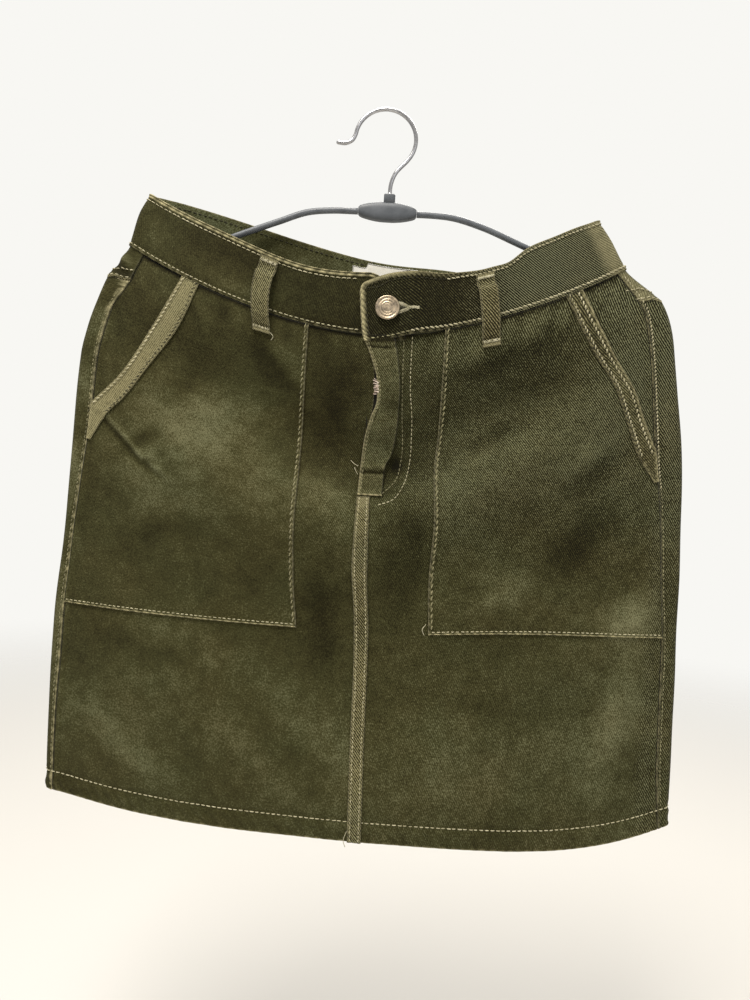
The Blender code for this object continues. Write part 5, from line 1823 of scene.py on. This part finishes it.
@dataclass
class BeltLoops:
    """Five strips tacked down at both ends, standing off the waistband between them."""

    width: float = 12.8
    top: float = -1.6
    bottom: float = -52.5
    stand: float = 5.8
    cloth: float = 1.4
    past_band: float = 3.0
    cut: Cut = Cut(12.8, 62)

    def profile(self, along: Grid) -> tuple[Grid, Grid]:
        """Gap under the loop and its thickness, along its length."""
        table = (
            (0.00, 0.3, 2.6), (0.11, 0.3, 2.6), (0.15, 1.2, 1.9), (0.25, self.stand, self.cloth),
            (0.50, self.stand + 0.3, self.cloth), (0.66, self.stand - 0.3, self.cloth),
            (0.84, 1.6, 1.9), (0.88, 0.3, 2.6), (1.00, 0.3, 2.6),
        )
        return read(table, along), read(table, along, 2)

    def make(self) -> None:
        """Builds every loop and its bar tacks."""
        tacks = Stitching("bar_tacks_loops", 17)
        for number, loop in enumerate(LOOPS):
            self.make_loop(loop, 83.0 + number)
            self.tack(loop, tacks)
        tacks.make(Finish.BAR_THREAD)

    def grid(self, loop: LoopPlace, along: Grid, across: Grid) -> tuple[Grid, Grid, Grid]:
        """Turns, levels and under-face heights of places on a loop."""
        levels = self.top + (self.bottom - self.top) * along
        x = smooth((0.0, 0.5, 1.0), (loop.top, loop.middle, loop.bottom), along) + across * self.width
        turn_of = FORM.front_turn if loop.on_front else FORM.back_turn
        stand, _ = self.profile(along)
        foot = BAND_LEVEL - self.past_band
        seat = BAND_OUT + (loop.seat - BAND_OUT) * ease(foot + 1.5, foot - 1.5, levels)
        return turn_of(x, levels), levels, seat + stand

    def make_loop(self, loop: LoopPlace, number: float) -> None:
        """Builds one loop."""
        along, across = np.meshgrid(np.linspace(0, 1, 56), np.linspace(-0.5, 0.5, 12), indexing="ij")
        turns, levels, under = self.grid(loop, along, across)
        _, thick = self.profile(along)
        if not loop.on_front:
            turns, levels, under, thick = (a[:, ::-1] for a in (turns, levels, under, thick))
        edge = RopedEdge(width=2.4, pitch=3.6, slant=0.9, puff=0.4, rubbed=0.5, rim=0.5, rim_width=0.8)
        ends = 0.45 * (ease(0.10, 0.02, along) + ease(0.90, 0.98, along))
        # Painted shade in the bends where each loop folds down onto the band, deeper at its lower end; the
        # loops right of the middle are 0.12 darker all over.
        shade = 0.45 * bell(along, 0.885, 0.022) + 0.2 * bell(along, 0.09, 0.02)
        shade = shade + (0.12 if loop.top > 0 else 0.0)
        ClothPiece(
            loop.name, turns, levels, under, under + thick, {Margin.LEFT: edge, Margin.RIGHT: edge},
            number=number, rounding=0.6, wear=ends, evenly=True, twill=1.3, tone=-shade,
        ).make(Finish.LOOP_TWILL, self.cut, loop.rests_on)

    def tack(self, loop: LoopPlace, tacks: Stitching) -> None:
        """Sews the bar tacks across both ends of a loop."""
        for share in (0.055, 0.93):
            across = np.linspace(-0.44, 0.44, 24)
            along = np.full_like(across, share)
            turns, levels, under = self.grid(loop, along, across)
            _, thick = self.profile(along)
            zigzag = levels + 1.1 * np.where(np.arange(24) % 2, 1, -1)
            tacks.row(turns, zigzag, under + thick, TACK_STITCH)


@dataclass
class Label:
    """A blank woven label inside the back of the waistband, with one end tucked lower."""

    left: float = -27.0
    right: float = 31.0
    step: float = 10.0
    crease: float = 1.0
    top: float = 0.0
    tuck: float = -3.6
    bottom: float = -25.8
    wall: float = 1.0
    cut: Cut = Cut(58, 25)

    def make(self) -> None:
        """Builds the label."""
        x = np.linspace(self.left, self.right, 46)[None, :]
        from_tuck = ease(self.left + self.step, self.left + self.step + self.crease, x)
        top = self.tuck + (self.top - self.tuck) * from_tuck
        levels = top + (self.bottom - top) * np.linspace(0, 1, 24)[:, None]
        outer = BAND_IN - SEAM_GAP
        x = x + 0 * levels
        ClothPiece(
            "label", FORM.back_turn(x, levels), levels, outer - self.wall, outer, number=97.0, rounding=0.35
        ).make(Finish.LABEL, self.cut, ["waistband_back_left", "waistband_back_right"])


# ---- topstitching


@dataclass
class Topstitching:
    """Every row of sewing that shows."""

    hem_level: float = HEM_LEVEL + HEM_STITCH

    def make(self) -> None:
        """Sews the hem, band, pockets, fly, seams and yoke."""
        self.hem()
        self.band()
        self.pockets()
        self.fly()
        self.side_seams()

    def hem(self) -> None:
        """The hem's row, all the way round."""
        rows = Stitching("stitches_hem", 3)
        turns = np.linspace(0.0, 4.0, 1200)
        rows.row(turns, np.full_like(turns, self.hem_level), 0.05)
        rows.make(Finish.THREAD)

    def band(self) -> None:
        """Two rows along the band, and the square of sewing at its lapped end."""
        rows, lapped = Stitching("stitches_band", 5), Stitching("stitches_overlap", 6)
        # These rows lie in shade, inside the band, along the overlap's top near its end and down that end, so
        # their thread is painted near black.
        shaded_rows = Stitching("stitches_band_inside", 4)
        band = Waistband()
        end = (band.overlap_edge + 1) / 2
        for level in (-2.2, BAND_LEVEL + 2.2):
            upper = level > BAND_LEVEL / 2
            turns = np.linspace(-0.5, end - 0.004, 300)
            rows.row(turns, np.full_like(turns, level), BAND_OUT)
            bright = float(FORM.front_turn(42.0 if upper else 18.0, level))
            for start, stop, sewn, thread in (
                (end + 0.016, bright, shaded_rows if upper else lapped, FINE_STITCH if upper else EDGE_STITCH),
                (bright, 1.5, rows, EDGE_STITCH if upper else BEAD_STITCH),
            ):
                turns = np.linspace(start, stop, 300)
                x = FORM.skin(turns, np.full_like(turns, level))[:, 0]
                curl = 3.0 * ease(6.0, -8.0, x) ** 2 - 1.3 * ease(34.0, 60.0, x) if upper else 0.0
                share = 0.5 if upper else 1.0
                sewn_at = level - share * band.lap_droop * ease(30.0, -22.0, x) - curl
                sewn.row(turns, sewn_at, BAND_OUT + band.lap_lift(x) + 0.15, thread)
            turns = np.linspace(1.5, 3.5, 700)
            rows.row(turns, np.full_like(turns, level), BAND_OUT)
            inside = np.full_like(turns, level + (0.6 if upper else 0.0))
            shaded_rows.along(FORM.lay(turns, inside, BAND_IN), -FORM.outward(turns, inside), TOPSTITCH)
        levels = np.linspace(-10.0, BAND_LEVEL + 3.4, 14)
        lift = BAND_OUT + band.lap_lift(np.full_like(levels, 0.0))
        shaded_rows.row(np.full_like(levels, end + 0.0135), levels - band.lap_droop, lift)
        rows.make(Finish.THREAD)
        lapped.make(Finish.DULL_THREAD)
        shaded_rows.make(Finish.DARK_THREAD)

    def pockets(self) -> None:
        """Rows round both patch pockets and along both faced mouths."""
        rows, holes = Stitching("stitches_pockets", 7), Stitching("needle_holes", 10)
        face = LAY_GAP + CLOTH
        for inner, sign in ((LEFT_POCKET, -1), (RIGHT_POCKET, 1)):
            line = beside(inner, sign * 2.3)
            line[-1] = (line[-1][0], line[-1][1] + 3.0)
            rows.front_row(line, face + 0.1, ROPE_STITCH)
        # The needle holes are painted shade: dark beads sunk along the facings.
        facing_face = face + LAY_GAP + PatchPocket.facing_wall
        holes.front_row(beside(LEFT_FACING[:-1], -1.5), facing_face, HOLE_STITCH)
        rows.front_row(beside(LEFT_FACING[:-1], -2.6), facing_face, FACING_STITCH)
        holes.front_row(beside(RIGHT_FACING[:-1], 1.5), facing_face, HOLE_STITCH)
        rows.make(Finish.DULL_THREAD)
        holes.make(Finish.DARK_THREAD)

        rows = Stitching("stitches_pocket_edges", 8)
        foot = PatchPocket.bottom + 2.3
        for side, start, bow in (("left", LEFT_POCKET[-1][1] - 2.4, LEFT_BOW),
                                 ("right", RIGHT_POCKET[-1][1] + 2.4, RIGHT_BOW)):
            edge = float(FORM.seam_x(side, foot + 1.7))
            steps = np.linspace(0, 1, 9)
            line = [(start + (edge - start) * s, foot + bow * math.sin(math.pi * s)) for s in steps]
            rows.front_row(line, face, FOOT_STITCH)
        rows.front_row(beside(LEFT_MOUTH, 1.5, 1.0), facing_face + 0.1, BEAD_STITCH)
        rows.front_row(beside(RIGHT_FACING[:-1], 2.6), facing_face, FACING_STITCH)
        rows.front_row(beside(RIGHT_MOUTH, -3.4, 1.0), facing_face + 0.1, BEAD_STITCH)
        rows.make(Finish.THREAD)

    def fly(self) -> None:
        """The curved double row, the placket's edge and the felled seam."""
        rows = Stitching("stitches_fly", 9)
        outer = ((19.6, -37), (20.3, -83), (23.2, -125), (22.8, -163.5), (19.7, -182), (12.2, -198),
                 (1.7, -203.6))
        inner = ((13.7, -37), (14.6, -80), (15.5, -111), (16.9, -159), (13.4, -179), (4.1, -193))
        rows.front_row(outer, 0.05, FINE_STITCH)
        dull = Stitching("stitches_placket", 12)
        dull.front_row(inner, 0.05, FINE_STITCH)
        fly = Fly()
        levels = np.linspace(-42.0, -190.0, 90)
        left, right = read(PLACKET_LEFT, levels), read(PLACKET_RIGHT, levels)
        x = left + 2.2
        lift = fly.placket_lift(levels, (x - left) / (right - left)) + fly.placket_wall
        dull.row(FORM.front_turn(x, levels), levels, lift, FINE_STITCH)
        dull.make(Finish.DULL_THREAD)
        for edge, inset in ((FELL_LEFT, 1.9), (FELL_RIGHT, -1.9)):
            rows.front_row(beside(edge, inset), LAY_GAP + Fly.fell_wall, FINE_STITCH)
        rows.make(Finish.THREAD)

    def side_seams(self) -> None:
        """Rows beside the side seams and under the back yoke."""
        rows = Stitching("stitches_seams", 13)
        levels = np.linspace(-62.0, HEM_LEVEL + 15.0, 260)
        for side in ("left", "right"):
            rows.row(FORM.seam_turn(side, levels, -2.6), levels, 0.05, FINE_STITCH)
        rows.make(Finish.DULL_THREAD)
        cord = Stitching("stitches_right_cord", 15)
        levels = np.linspace(-38.0, -190.0, 120)
        cord.row(FORM.seam_turn("right", levels, -1.9 - SIDE_GAP), levels, 0.3, CORD_STITCH)
        cord.make(Finish.THREAD)
        rows = Stitching("stitches_yoke", 14)
        right, left = (
            float(FORM.seam_turn(side, YOKE_STITCH_ENDS, -SIDE_GAP)) for side in ("right", "left")
        )
        turns = np.linspace(right + 0.004, 4 + left - 0.004, 1200)
        line = read(YOKE_LINE, turns)
        rows.row(turns, line + 2.0, 0.05)
        rows.row(turns, line + 7.5, 0.05)
        rows.make(Finish.THREAD)


# ---- buttonhole, tacks and loose ends


@dataclass
class HandWork:
    """The worked buttonhole, the bar tacks of the pockets and the loose thread ends."""

    upper_lip: Places = ((7.6, -17.2), (11.0, -18.0), (15.6, -19.9))
    lower_lip: Places = ((7.6, -22.6), (11.0, -21.8), (15.6, -20.5))
    slit: Places = ((8.4, -19.9), (11.5, -20.0), (15.2, -20.2))
    tail: Places = ((15.6, -20.2), (19.0, -20.0), (22.2, -20.3))
    bar: Places = ((22.3, -19.7), (22.4, -20.9))
    corners: tuple[Places, ...] = (((-208.5, -149.2), (-201.5, -151.2)), ((194.0, -161.5), (200.5, -159.5)))
    loose: tuple[tuple[tuple[float, float, float], ...], ...] = (
        ((-19.2, -161.0, 0.4), (-16.0, -164.5, 1.6), (-13.6, -166.0, 0.9)),
        ((-16.2, -167.5, 0.4), (-15.0, -171.0, 1.4), (-13.6, -174.0, 0.6)),
        ((-81.5, -50.5, 3.0), (-79.0, -53.5, 2.4), (-80.5, -57.0, 1.0)),
        ((41.5, -292.0, 1.8), (39.0, -296.0, 2.0), (40.5, -300.0, 0.8)),
        ((-6.0, -430.0, 1.6), (-8.0, -436.0, 2.2), (-6.5, -441.0, 1.4)),
    )

    def make(self) -> None:
        """Works the buttonhole, the tacks and the ends."""
        band = Waistband()

        def on_band(x: Grid, level: Grid, above: Grid | float) -> Grid:
            """Points above the overlap's face."""
            return FORM.lay(FORM.front_turn(x, level), level, BAND_OUT + band.lap_lift(x) + above)

        def satin(heap: Heap, line: Places, reach: float, lay: Callable[[Grid, Grid, Grid], Grid]) -> None:
            """Packs short stitches side by side along a line, each across it."""
            length = sum(math.dist(a, b) for a, b in zip(line, line[1:]))
            path = through(line, max(4, int(length / 0.62)))
            way = np.gradient(path, axis=0)
            way /= np.linalg.norm(way, axis=1, keepdims=True)
            for (x, level), (dx, dl) in zip(path, way):
                shares = np.array((-1.0, -0.5, 0.0, 0.5, 1.0)) * reach
                xs, levels = x - dl * shares, level + dx * shares
                ups = np.array((-0.2, 0.3, 0.42, 0.3, -0.2))
                heap.add_tube(place(lay(xs, levels, ups)), 0.30 * MM, 6)

        worked = Heap()
        for lip in (self.upper_lip, self.lower_lip):
            satin(worked, lip, 0.9, on_band)
        satin(worked, self.bar, 0.8, on_band)
        for offset in (-0.45, 0.15, 0.6):
            path = through([(x, level + offset) for x, level in self.tail], 12)
            worked.add_tube(place(on_band(path[:, 0], path[:, 1], 0.3)), 0.27 * MM, 6)
        worked.piece("buttonhole", Finish.BAR_THREAD)

        # A tapering dark tube along the slit: painted shadow in the opening.
        slit = Heap()
        path = through(self.slit, 8)
        slit.add_tube(place(on_band(path[:, 0], path[:, 1], 0.05)), np.linspace(1.2, 0.24, 8) * MM, 8)
        slit.piece("buttonhole_slit_shadow", Finish.DARK_THREAD)

        def on_front(x: Grid, level: Grid, above: Grid | float) -> Grid:
            """Points above the pockets' face."""
            return FORM.lay(FORM.front_turn(x, level), level, LAY_GAP + CLOTH + above)

        ends = Heap()
        for corner in self.corners:
            satin(ends, corner, 1.1, on_front)
        for line in self.loose:
            path = through(line, 14)
            points = FORM.lay(FORM.front_turn(path[:, 0], path[:, 1]), path[:, 1], path[:, 2] + 0.4)
            ends.add_tube(place(points), 0.24 * MM, 6)
        ends.piece("bar_tacks_and_ends", Finish.BAR_THREAD)


# ---- button


@dataclass
class ShankButton:
    """A ringed, domed metal button on a foot through the buttonhole."""

    x: float = 0.6
    level: float = -20.2
    sides: int = 72

    def profile(self) -> Places:
        """Radius and height of its turned shape."""
        return (
            (0, 0), (4.1, 0), (4.2, 1.5), (7.9, 1.5), (8.4, 1.7), (8.68, 2.2), (8.66, 2.7),
            (8.4, 3.05), (8.0, 3.2), (7.5, 3.2), (7.15, 3.05), (6.9, 2.8), (6.5, 2.72), (6.1, 2.8),
            (5.8, 2.98), (5.3, 3.0), (4.95, 2.85), (4.6, 2.78), (4.3, 2.85), (4.0, 3.05), (3.6, 3.12),
            (3.3, 3.0), (3.0, 2.95), (2.6, 3.08), (1.8, 3.14), (0.9, 3.17), (0, 3.18),
        )

    def make(self) -> None:
        """Turns the button and sets it on the overlap."""
        lift = BAND_OUT - BAND_IN + SEAM_GAP + BAND_OUT + SEAM_GAP
        turn = FORM.front_turn(self.x, self.level)
        normal = FORM.outward(turn, self.level)
        centre = FORM.lay(turn, np.asarray(self.level), lift)
        aside = np.cross(normal, (0.0, 0.0, 1.0))
        aside /= np.linalg.norm(aside)
        up = np.cross(aside, normal)
        angles = np.arange(self.sides) * 2 * math.pi / self.sides
        around = np.cos(angles), np.sin(angles)
        rings = [
            centre + normal * height + radius * (around[0][:, None] * aside + around[1][:, None] * up)
            for radius, height in self.profile()[1:-1]
        ]
        ends = np.stack([centre, centre + normal * self.profile()[-1][1]])
        vertices = place(np.concatenate([np.concatenate(rings), ends]))
        count = len(rings) * self.sides
        faces = grid_faces(len(rings), self.sides, closed=True).tolist()
        for k in range(self.sides):
            after = (k + 1) % self.sides
            faces.append([count, k, after])
            faces.append([count + 1, count - self.sides + after, count - self.sides + k])
        add_piece("button", vertices, faces, Finish.BRASS, ("button",))


# ---- hanger


ARM_LEFT = (
    (-25.4, 212.1), (-44.5, 211.6), (-61.4, 209.4), (-83.4, 201.0), (-105.5, 192.0),
    (-140.0, 177.0), (-175.0, 159.5), (-196.0, 148.0),
)
ARM_RIGHT = (
    (18.2, 212.1), (28.4, 212.2), (43.5, 211.4), (66.5, 205.7), (93.3, 195.4),
    (130.0, 180.5), (165.0, 165.0), (187.0, 155.0),
)


@dataclass
class Hanger:
    """A vinyl dipped wire hanger with a moulded centre and a steel hook."""

    wire: float = 2.3
    arm_gap: float = 0.65
    arm_end_drop: float = 6.5
    waist_height: float = 213.0
    hook_wire: float = 1.5
    hook_radius: float = 22.4
    hook_arc: tuple[float, float] = (-38.0, 172.0)
    stem_x: float = 5.4
    centre_x: float = 4.4
    centre_length: float = 43.0
    centre_height: float = 14.0
    centre_depth: float = 9.0
    centre_below: float = 74.6
    neck: tuple[float, float, float] = (8.4, 6.4, 9.0)
    neck_rise: float = 6.0

    def make(self) -> None:
        """Builds the arms, centre piece and hook."""
        heap = Heap()
        for route, side in ((ARM_LEFT, "left"), (ARM_RIGHT, "right")):
            line = self.arm_line(route, side)
            heap.add_tube(*self.capped(line, self.wire * MM), 20)
        heap.piece("hanger_arms", Finish.VINYL, ("hanger_arm_left", "hanger_arm_right"))
        self.make_centre()
        hook = Heap()
        hook.add_tube(*self.capped(self.hook_line(), self.hook_wire * MM), 20)
        hook.piece("hanger_hook", Finish.STEEL, ("hanger_hook",))

    @staticmethod
    def squared(angles: Grid, power: float) -> Grid:
        """A cosine flattened towards 1 and -1, which squares a round section."""
        return np.sign(np.cos(angles)) * np.abs(np.cos(angles)) ** power

    @staticmethod
    def capped(line: Grid, radius: float) -> tuple[Grid, Grid]:
        """Adds a rounded end to a line and gives the radius at every point."""
        tangent = line[-1] - line[-2]
        tangent /= np.linalg.norm(tangent)
        cap = ((0.25, 0.97), (0.5, 0.866), (0.72, 0.70), (0.9, 0.43), (0.985, 0.17))
        points = [line[-1] + tangent * radius * reach for reach, _ in cap]
        radii = np.concatenate((np.full(len(line), radius), [radius * size for _, size in cap]))
        return np.concatenate((line, points)), radii

    def arm_line(self, route: Places, side: str) -> Grid:
        """Middle of one arm's wire, ending just inside the fold that rests on it."""
        heights = [height - self.waist_height for _, height in route]
        points = [(x, 0.0, z) for (x, _), z in zip(route, heights)]
        drop = heights[-1] - self.arm_end_drop
        clear = CLOTH + self.arm_gap + self.wire
        inside = 1 if side == "left" else -1
        points.append((float(FORM.girth(side, drop)) + inside * clear, 0.0, drop))
        return place(through(points, 70))

    def hook_line(self) -> Grid:
        """Middle of the hook's wire: a stem, a bend into a round arc, and a turned-out tip."""
        centre_z = self.hook_wire - self.hook_radius
        neck_top = -self.centre_below + self.centre_height / 2 + self.neck_rise + SEAM_GAP
        start, end = (math.radians(a) for a in self.hook_arc)
        arc = [start + (end - start) * i / 26 for i in range(27)]
        stem = [(self.stem_x + x, neck_top + z) for x, z in ((0.0, 0), (0.3, 7.0), (2.6, 14.5))]
        bend = [(self.hook_radius * math.cos(a), centre_z + self.hook_radius * math.sin(a)) for a in arc]
        tip = [(bend[-1][0] + x, bend[-1][1] + z) for x, z in ((-2.6, -5.0), (-7.2, -7.4), (-12.6, -7.2))]
        return through([(x, 0.0, z) for x, z in stem + bend + tip], 120) * MM

    def make_centre(self) -> None:
        """The boat-shaped moulding and its neck."""
        heap = Heap()
        sections = (
            (-1.0, 0.34), (-0.95, 0.52), (-0.75, 0.74), (-0.45, 0.92), (-0.15, 1.0),
            (0.15, 1.0), (0.45, 0.92), (0.75, 0.74), (0.95, 0.52), (1.0, 0.34),
        )
        places = np.concatenate(([-1.0, -0.985], np.linspace(-0.95, 0.95, 39), [0.985, 1.0]))
        sizes = read(sections, places)
        sides = 40
        rings = []
        for along, size in zip(places, sizes):
            angles = 2 * math.pi * (np.arange(sides) + 0.5) / sides
            up, out = self.squared(angles - math.pi / 2, 0.8), self.squared(angles, 0.6)
            y = self.centre_depth / 2 * out * (0.6 + 0.4 * size)
            z = self.centre_height / 2 * up * size - self.centre_below
            x = np.full(sides, self.centre_x + self.centre_length / 2 * along)
            rings.append(np.stack([x, y, z], -1))
        heap.add(np.concatenate(rings) * MM, closed_faces(len(rings), sides))
        heap.add(*self.neck_mesh())
        heap.piece("hanger_centre", Finish.PLASTIC, ("hanger_centre",))

    def neck_mesh(self) -> tuple[Grid, list[list[int]]]:
        """The short neck that holds the hook, with soft corners."""
        width, depth, height = self.neck
        top = -self.centre_below + self.centre_height / 2 + self.neck_rise
        sides = 32
        angles = 2 * math.pi * np.arange(sides) / sides
        out = self.squared(angles, 0.35)
        back = np.sign(np.sin(angles)) * np.abs(np.sin(angles)) ** 0.35
        rings = []
        for size, down in ((1.0, height), (1.0, 0.9), (0.97, 0.35), (0.88, 0.05), (0.4, 0.0)):
            x = self.stem_x + width / 2 * out * size
            rings.append(np.stack([x, depth / 2 * back * size, np.full(sides, top - down)], -1))
        faces = grid_faces(len(rings), sides, closed=True).tolist()
        last = (len(rings) - 1) * sides
        faces += [list(range(sides)), list(range(last, last + sides))[::-1]]
        return np.concatenate(rings) * MM, faces


# ---- studio


@dataclass
class Studio:
    """A pale floor, soft light and the camera."""

    floor_z: float = -0.80
    floor_radius: float = 3.0
    focal: float = 27.0
    sensor: float = 36.0
    eye: tuple[float, float, float] = (0.008, -0.554, -0.2871)
    roll: tuple[float, float] = (0.0599, 0.9982)

    def make(self) -> None:
        """Sets up the floor, the light and the camera."""
        self.make_floor()
        self.make_world()
        self.make_lights()
        self.make_camera()
        view = bpy.context.scene.view_settings
        view.view_transform = "Standard"
        view.look = "None"

    def make_floor(self) -> None:
        """A pale painted disc that fades into the backdrop at its rim."""
        rings = np.linspace(0, 1, 30) ** 1.6 * self.floor_radius
        sides = 96
        angles = np.arange(sides) * 2 * math.pi / sides
        points = [
            np.stack([r * np.cos(angles), r * np.sin(angles), np.full(sides, self.floor_z)], -1)
            for r in rings[1:]
        ]
        vertices = np.concatenate(points + [np.array([[0, 0, self.floor_z]])])
        faces = [f[::-1] for f in grid_faces(len(points), sides, closed=True).tolist()]
        faces += [[len(vertices) - 1, k, (k + 1) % sides] for k in range(sides)]
        mesh = bpy.data.meshes.new("floor")
        mesh.from_pydata(vertices.tolist(), [], faces)
        material, tree = new_material("pale matt paint")
        where = add_node(tree, "ShaderNodeNewGeometry").outputs["Position"]
        inputs = {0: where, 1: (1, 1, 0)}
        flat = add_node(tree, "ShaderNodeVectorMath", inputs, operation="MULTIPLY").outputs[0]
        reach = add_node(tree, "ShaderNodeVectorMath", {0: flat}, operation="LENGTH").outputs["Value"]
        inputs = {"Value": reach, "From Min": 0.7, "From Max": 2.6}
        fade = add_node(tree, "ShaderNodeMapRange", inputs, interpolation_type="SMOOTHSTEP").outputs[0]
        paint = add_node(
            tree, "ShaderNodeBsdfPrincipled",
            {"Base Color": linear("#d2d0cc"), "Roughness": 0.95, "Specular IOR Level": 0.1},
        )
        clear = add_node(tree, "ShaderNodeBsdfTransparent")
        mix = add_node(tree, "ShaderNodeMixShader", {0: fade, 1: paint.outputs[0], 2: clear.outputs[0]})
        tree.links.new(mix.outputs[0], tree.nodes["output"].inputs[0])
        mesh.materials.append(material)
        floor = bpy.data.objects.new("floor", mesh)
        bpy.context.scene.collection.objects.link(floor)

    def make_world(self) -> None:
        """A white room that is brighter above, seen by the eye as plain pale."""
        world = bpy.data.worlds.new("room")
        bpy.context.scene.world = world
        world.use_nodes = True
        tree = world.node_tree
        tree.nodes.clear()
        path = add_node(tree, "ShaderNodeLightPath").outputs["Is Camera Ray"]
        seen = add_node(tree, "ShaderNodeBackground", {"Color": linear("#f8f7f3"), "Strength": 1.0})
        up = add_node(tree, "ShaderNodeTexCoord").outputs["Generated"]
        rise = add_node(tree, "ShaderNodeSeparateXYZ", {0: up}).outputs["Z"]
        inputs = {"Value": rise, "From Min": -1.0, "From Max": 1.0, "To Min": 0.30, "To Max": 0.75}
        bright = add_node(tree, "ShaderNodeMapRange", inputs).outputs[0]
        room = add_node(tree, "ShaderNodeBackground", {"Color": linear("#fbf8f2"), "Strength": bright})
        mix = add_node(tree, "ShaderNodeMixShader", {0: path, 1: room.outputs[0], 2: seen.outputs[0]})
        output = add_node(tree, "ShaderNodeOutputWorld")
        tree.links.new(mix.outputs[0], output.inputs[0])

    def make_lights(self) -> None:
        """A broad key above the front, a low fill and a soft light for the back."""
        lamps = (
            ("key", (-0.4, -0.80, 1.40), 0.8, 37.0, "#fffaf2"),
            ("fill", (0.9, -1.5, 0.1), 1.0, 3.0, "#f6f8ff"),
            ("back", (0.3, 0.95, 1.2), 1.0, 26.0, "#fffaf2"),
        )
        aim = Vector((0.0, 0.0, -0.3))
        for name, where, size, power, colour in lamps:
            lamp = bpy.data.lights.new(name, "AREA")
            lamp.shape = "SQUARE"
            lamp.size = size
            lamp.energy = power
            lamp.color = linear(colour)[:3]
            made = bpy.data.objects.new(name, lamp)
            made.location = where
            made.rotation_euler = (aim - Vector(where)).to_track_quat("-Z", "Y").to_euler()
            bpy.context.scene.collection.objects.link(made)

    def make_camera(self) -> None:
        """The camera at the front, tipped a little to one side."""
        camera = bpy.data.cameras.new("camera")
        camera.lens = self.focal
        camera.sensor_width = self.sensor
        camera.clip_start = 0.01
        camera.clip_end = 30.0
        made = bpy.data.objects.new("camera", camera)
        tip, level = self.roll
        made.matrix_world = Matrix((
            (level, -tip, 0.0, self.eye[0]),
            (0.0, 0.0, -1.0, self.eye[1]),
            (tip, level, 0.0, self.eye[2]),
            (0.0, 0.0, 0.0, 1.0),
        ))
        bpy.context.scene.collection.objects.link(made)
        bpy.context.scene.camera = made


# ---- the whole skirt


def main() -> None:
    """Builds every piece in order and reports it."""
    logging.basicConfig(level=logging.INFO, format="%(name)s: %(message)s")
    Studio().make()
    Hanger().make()
    FrontPanels().make()
    BackBody().make()
    Waistband().make()
    PatchPocket("left", LEFT_MOUTH, LEFT_FACING, LEFT_POCKET, LEFT_BOW, 41.0).make()
    PatchPocket("right", RIGHT_MOUTH, RIGHT_FACING, RIGHT_POCKET, RIGHT_BOW, 43.0).make()
    Fly().make()
    BeltLoops().make()
    Label().make()
    Topstitching().make()
    HandWork().make()
    ShankButton().make()


if __name__ == "__main__":
    main()
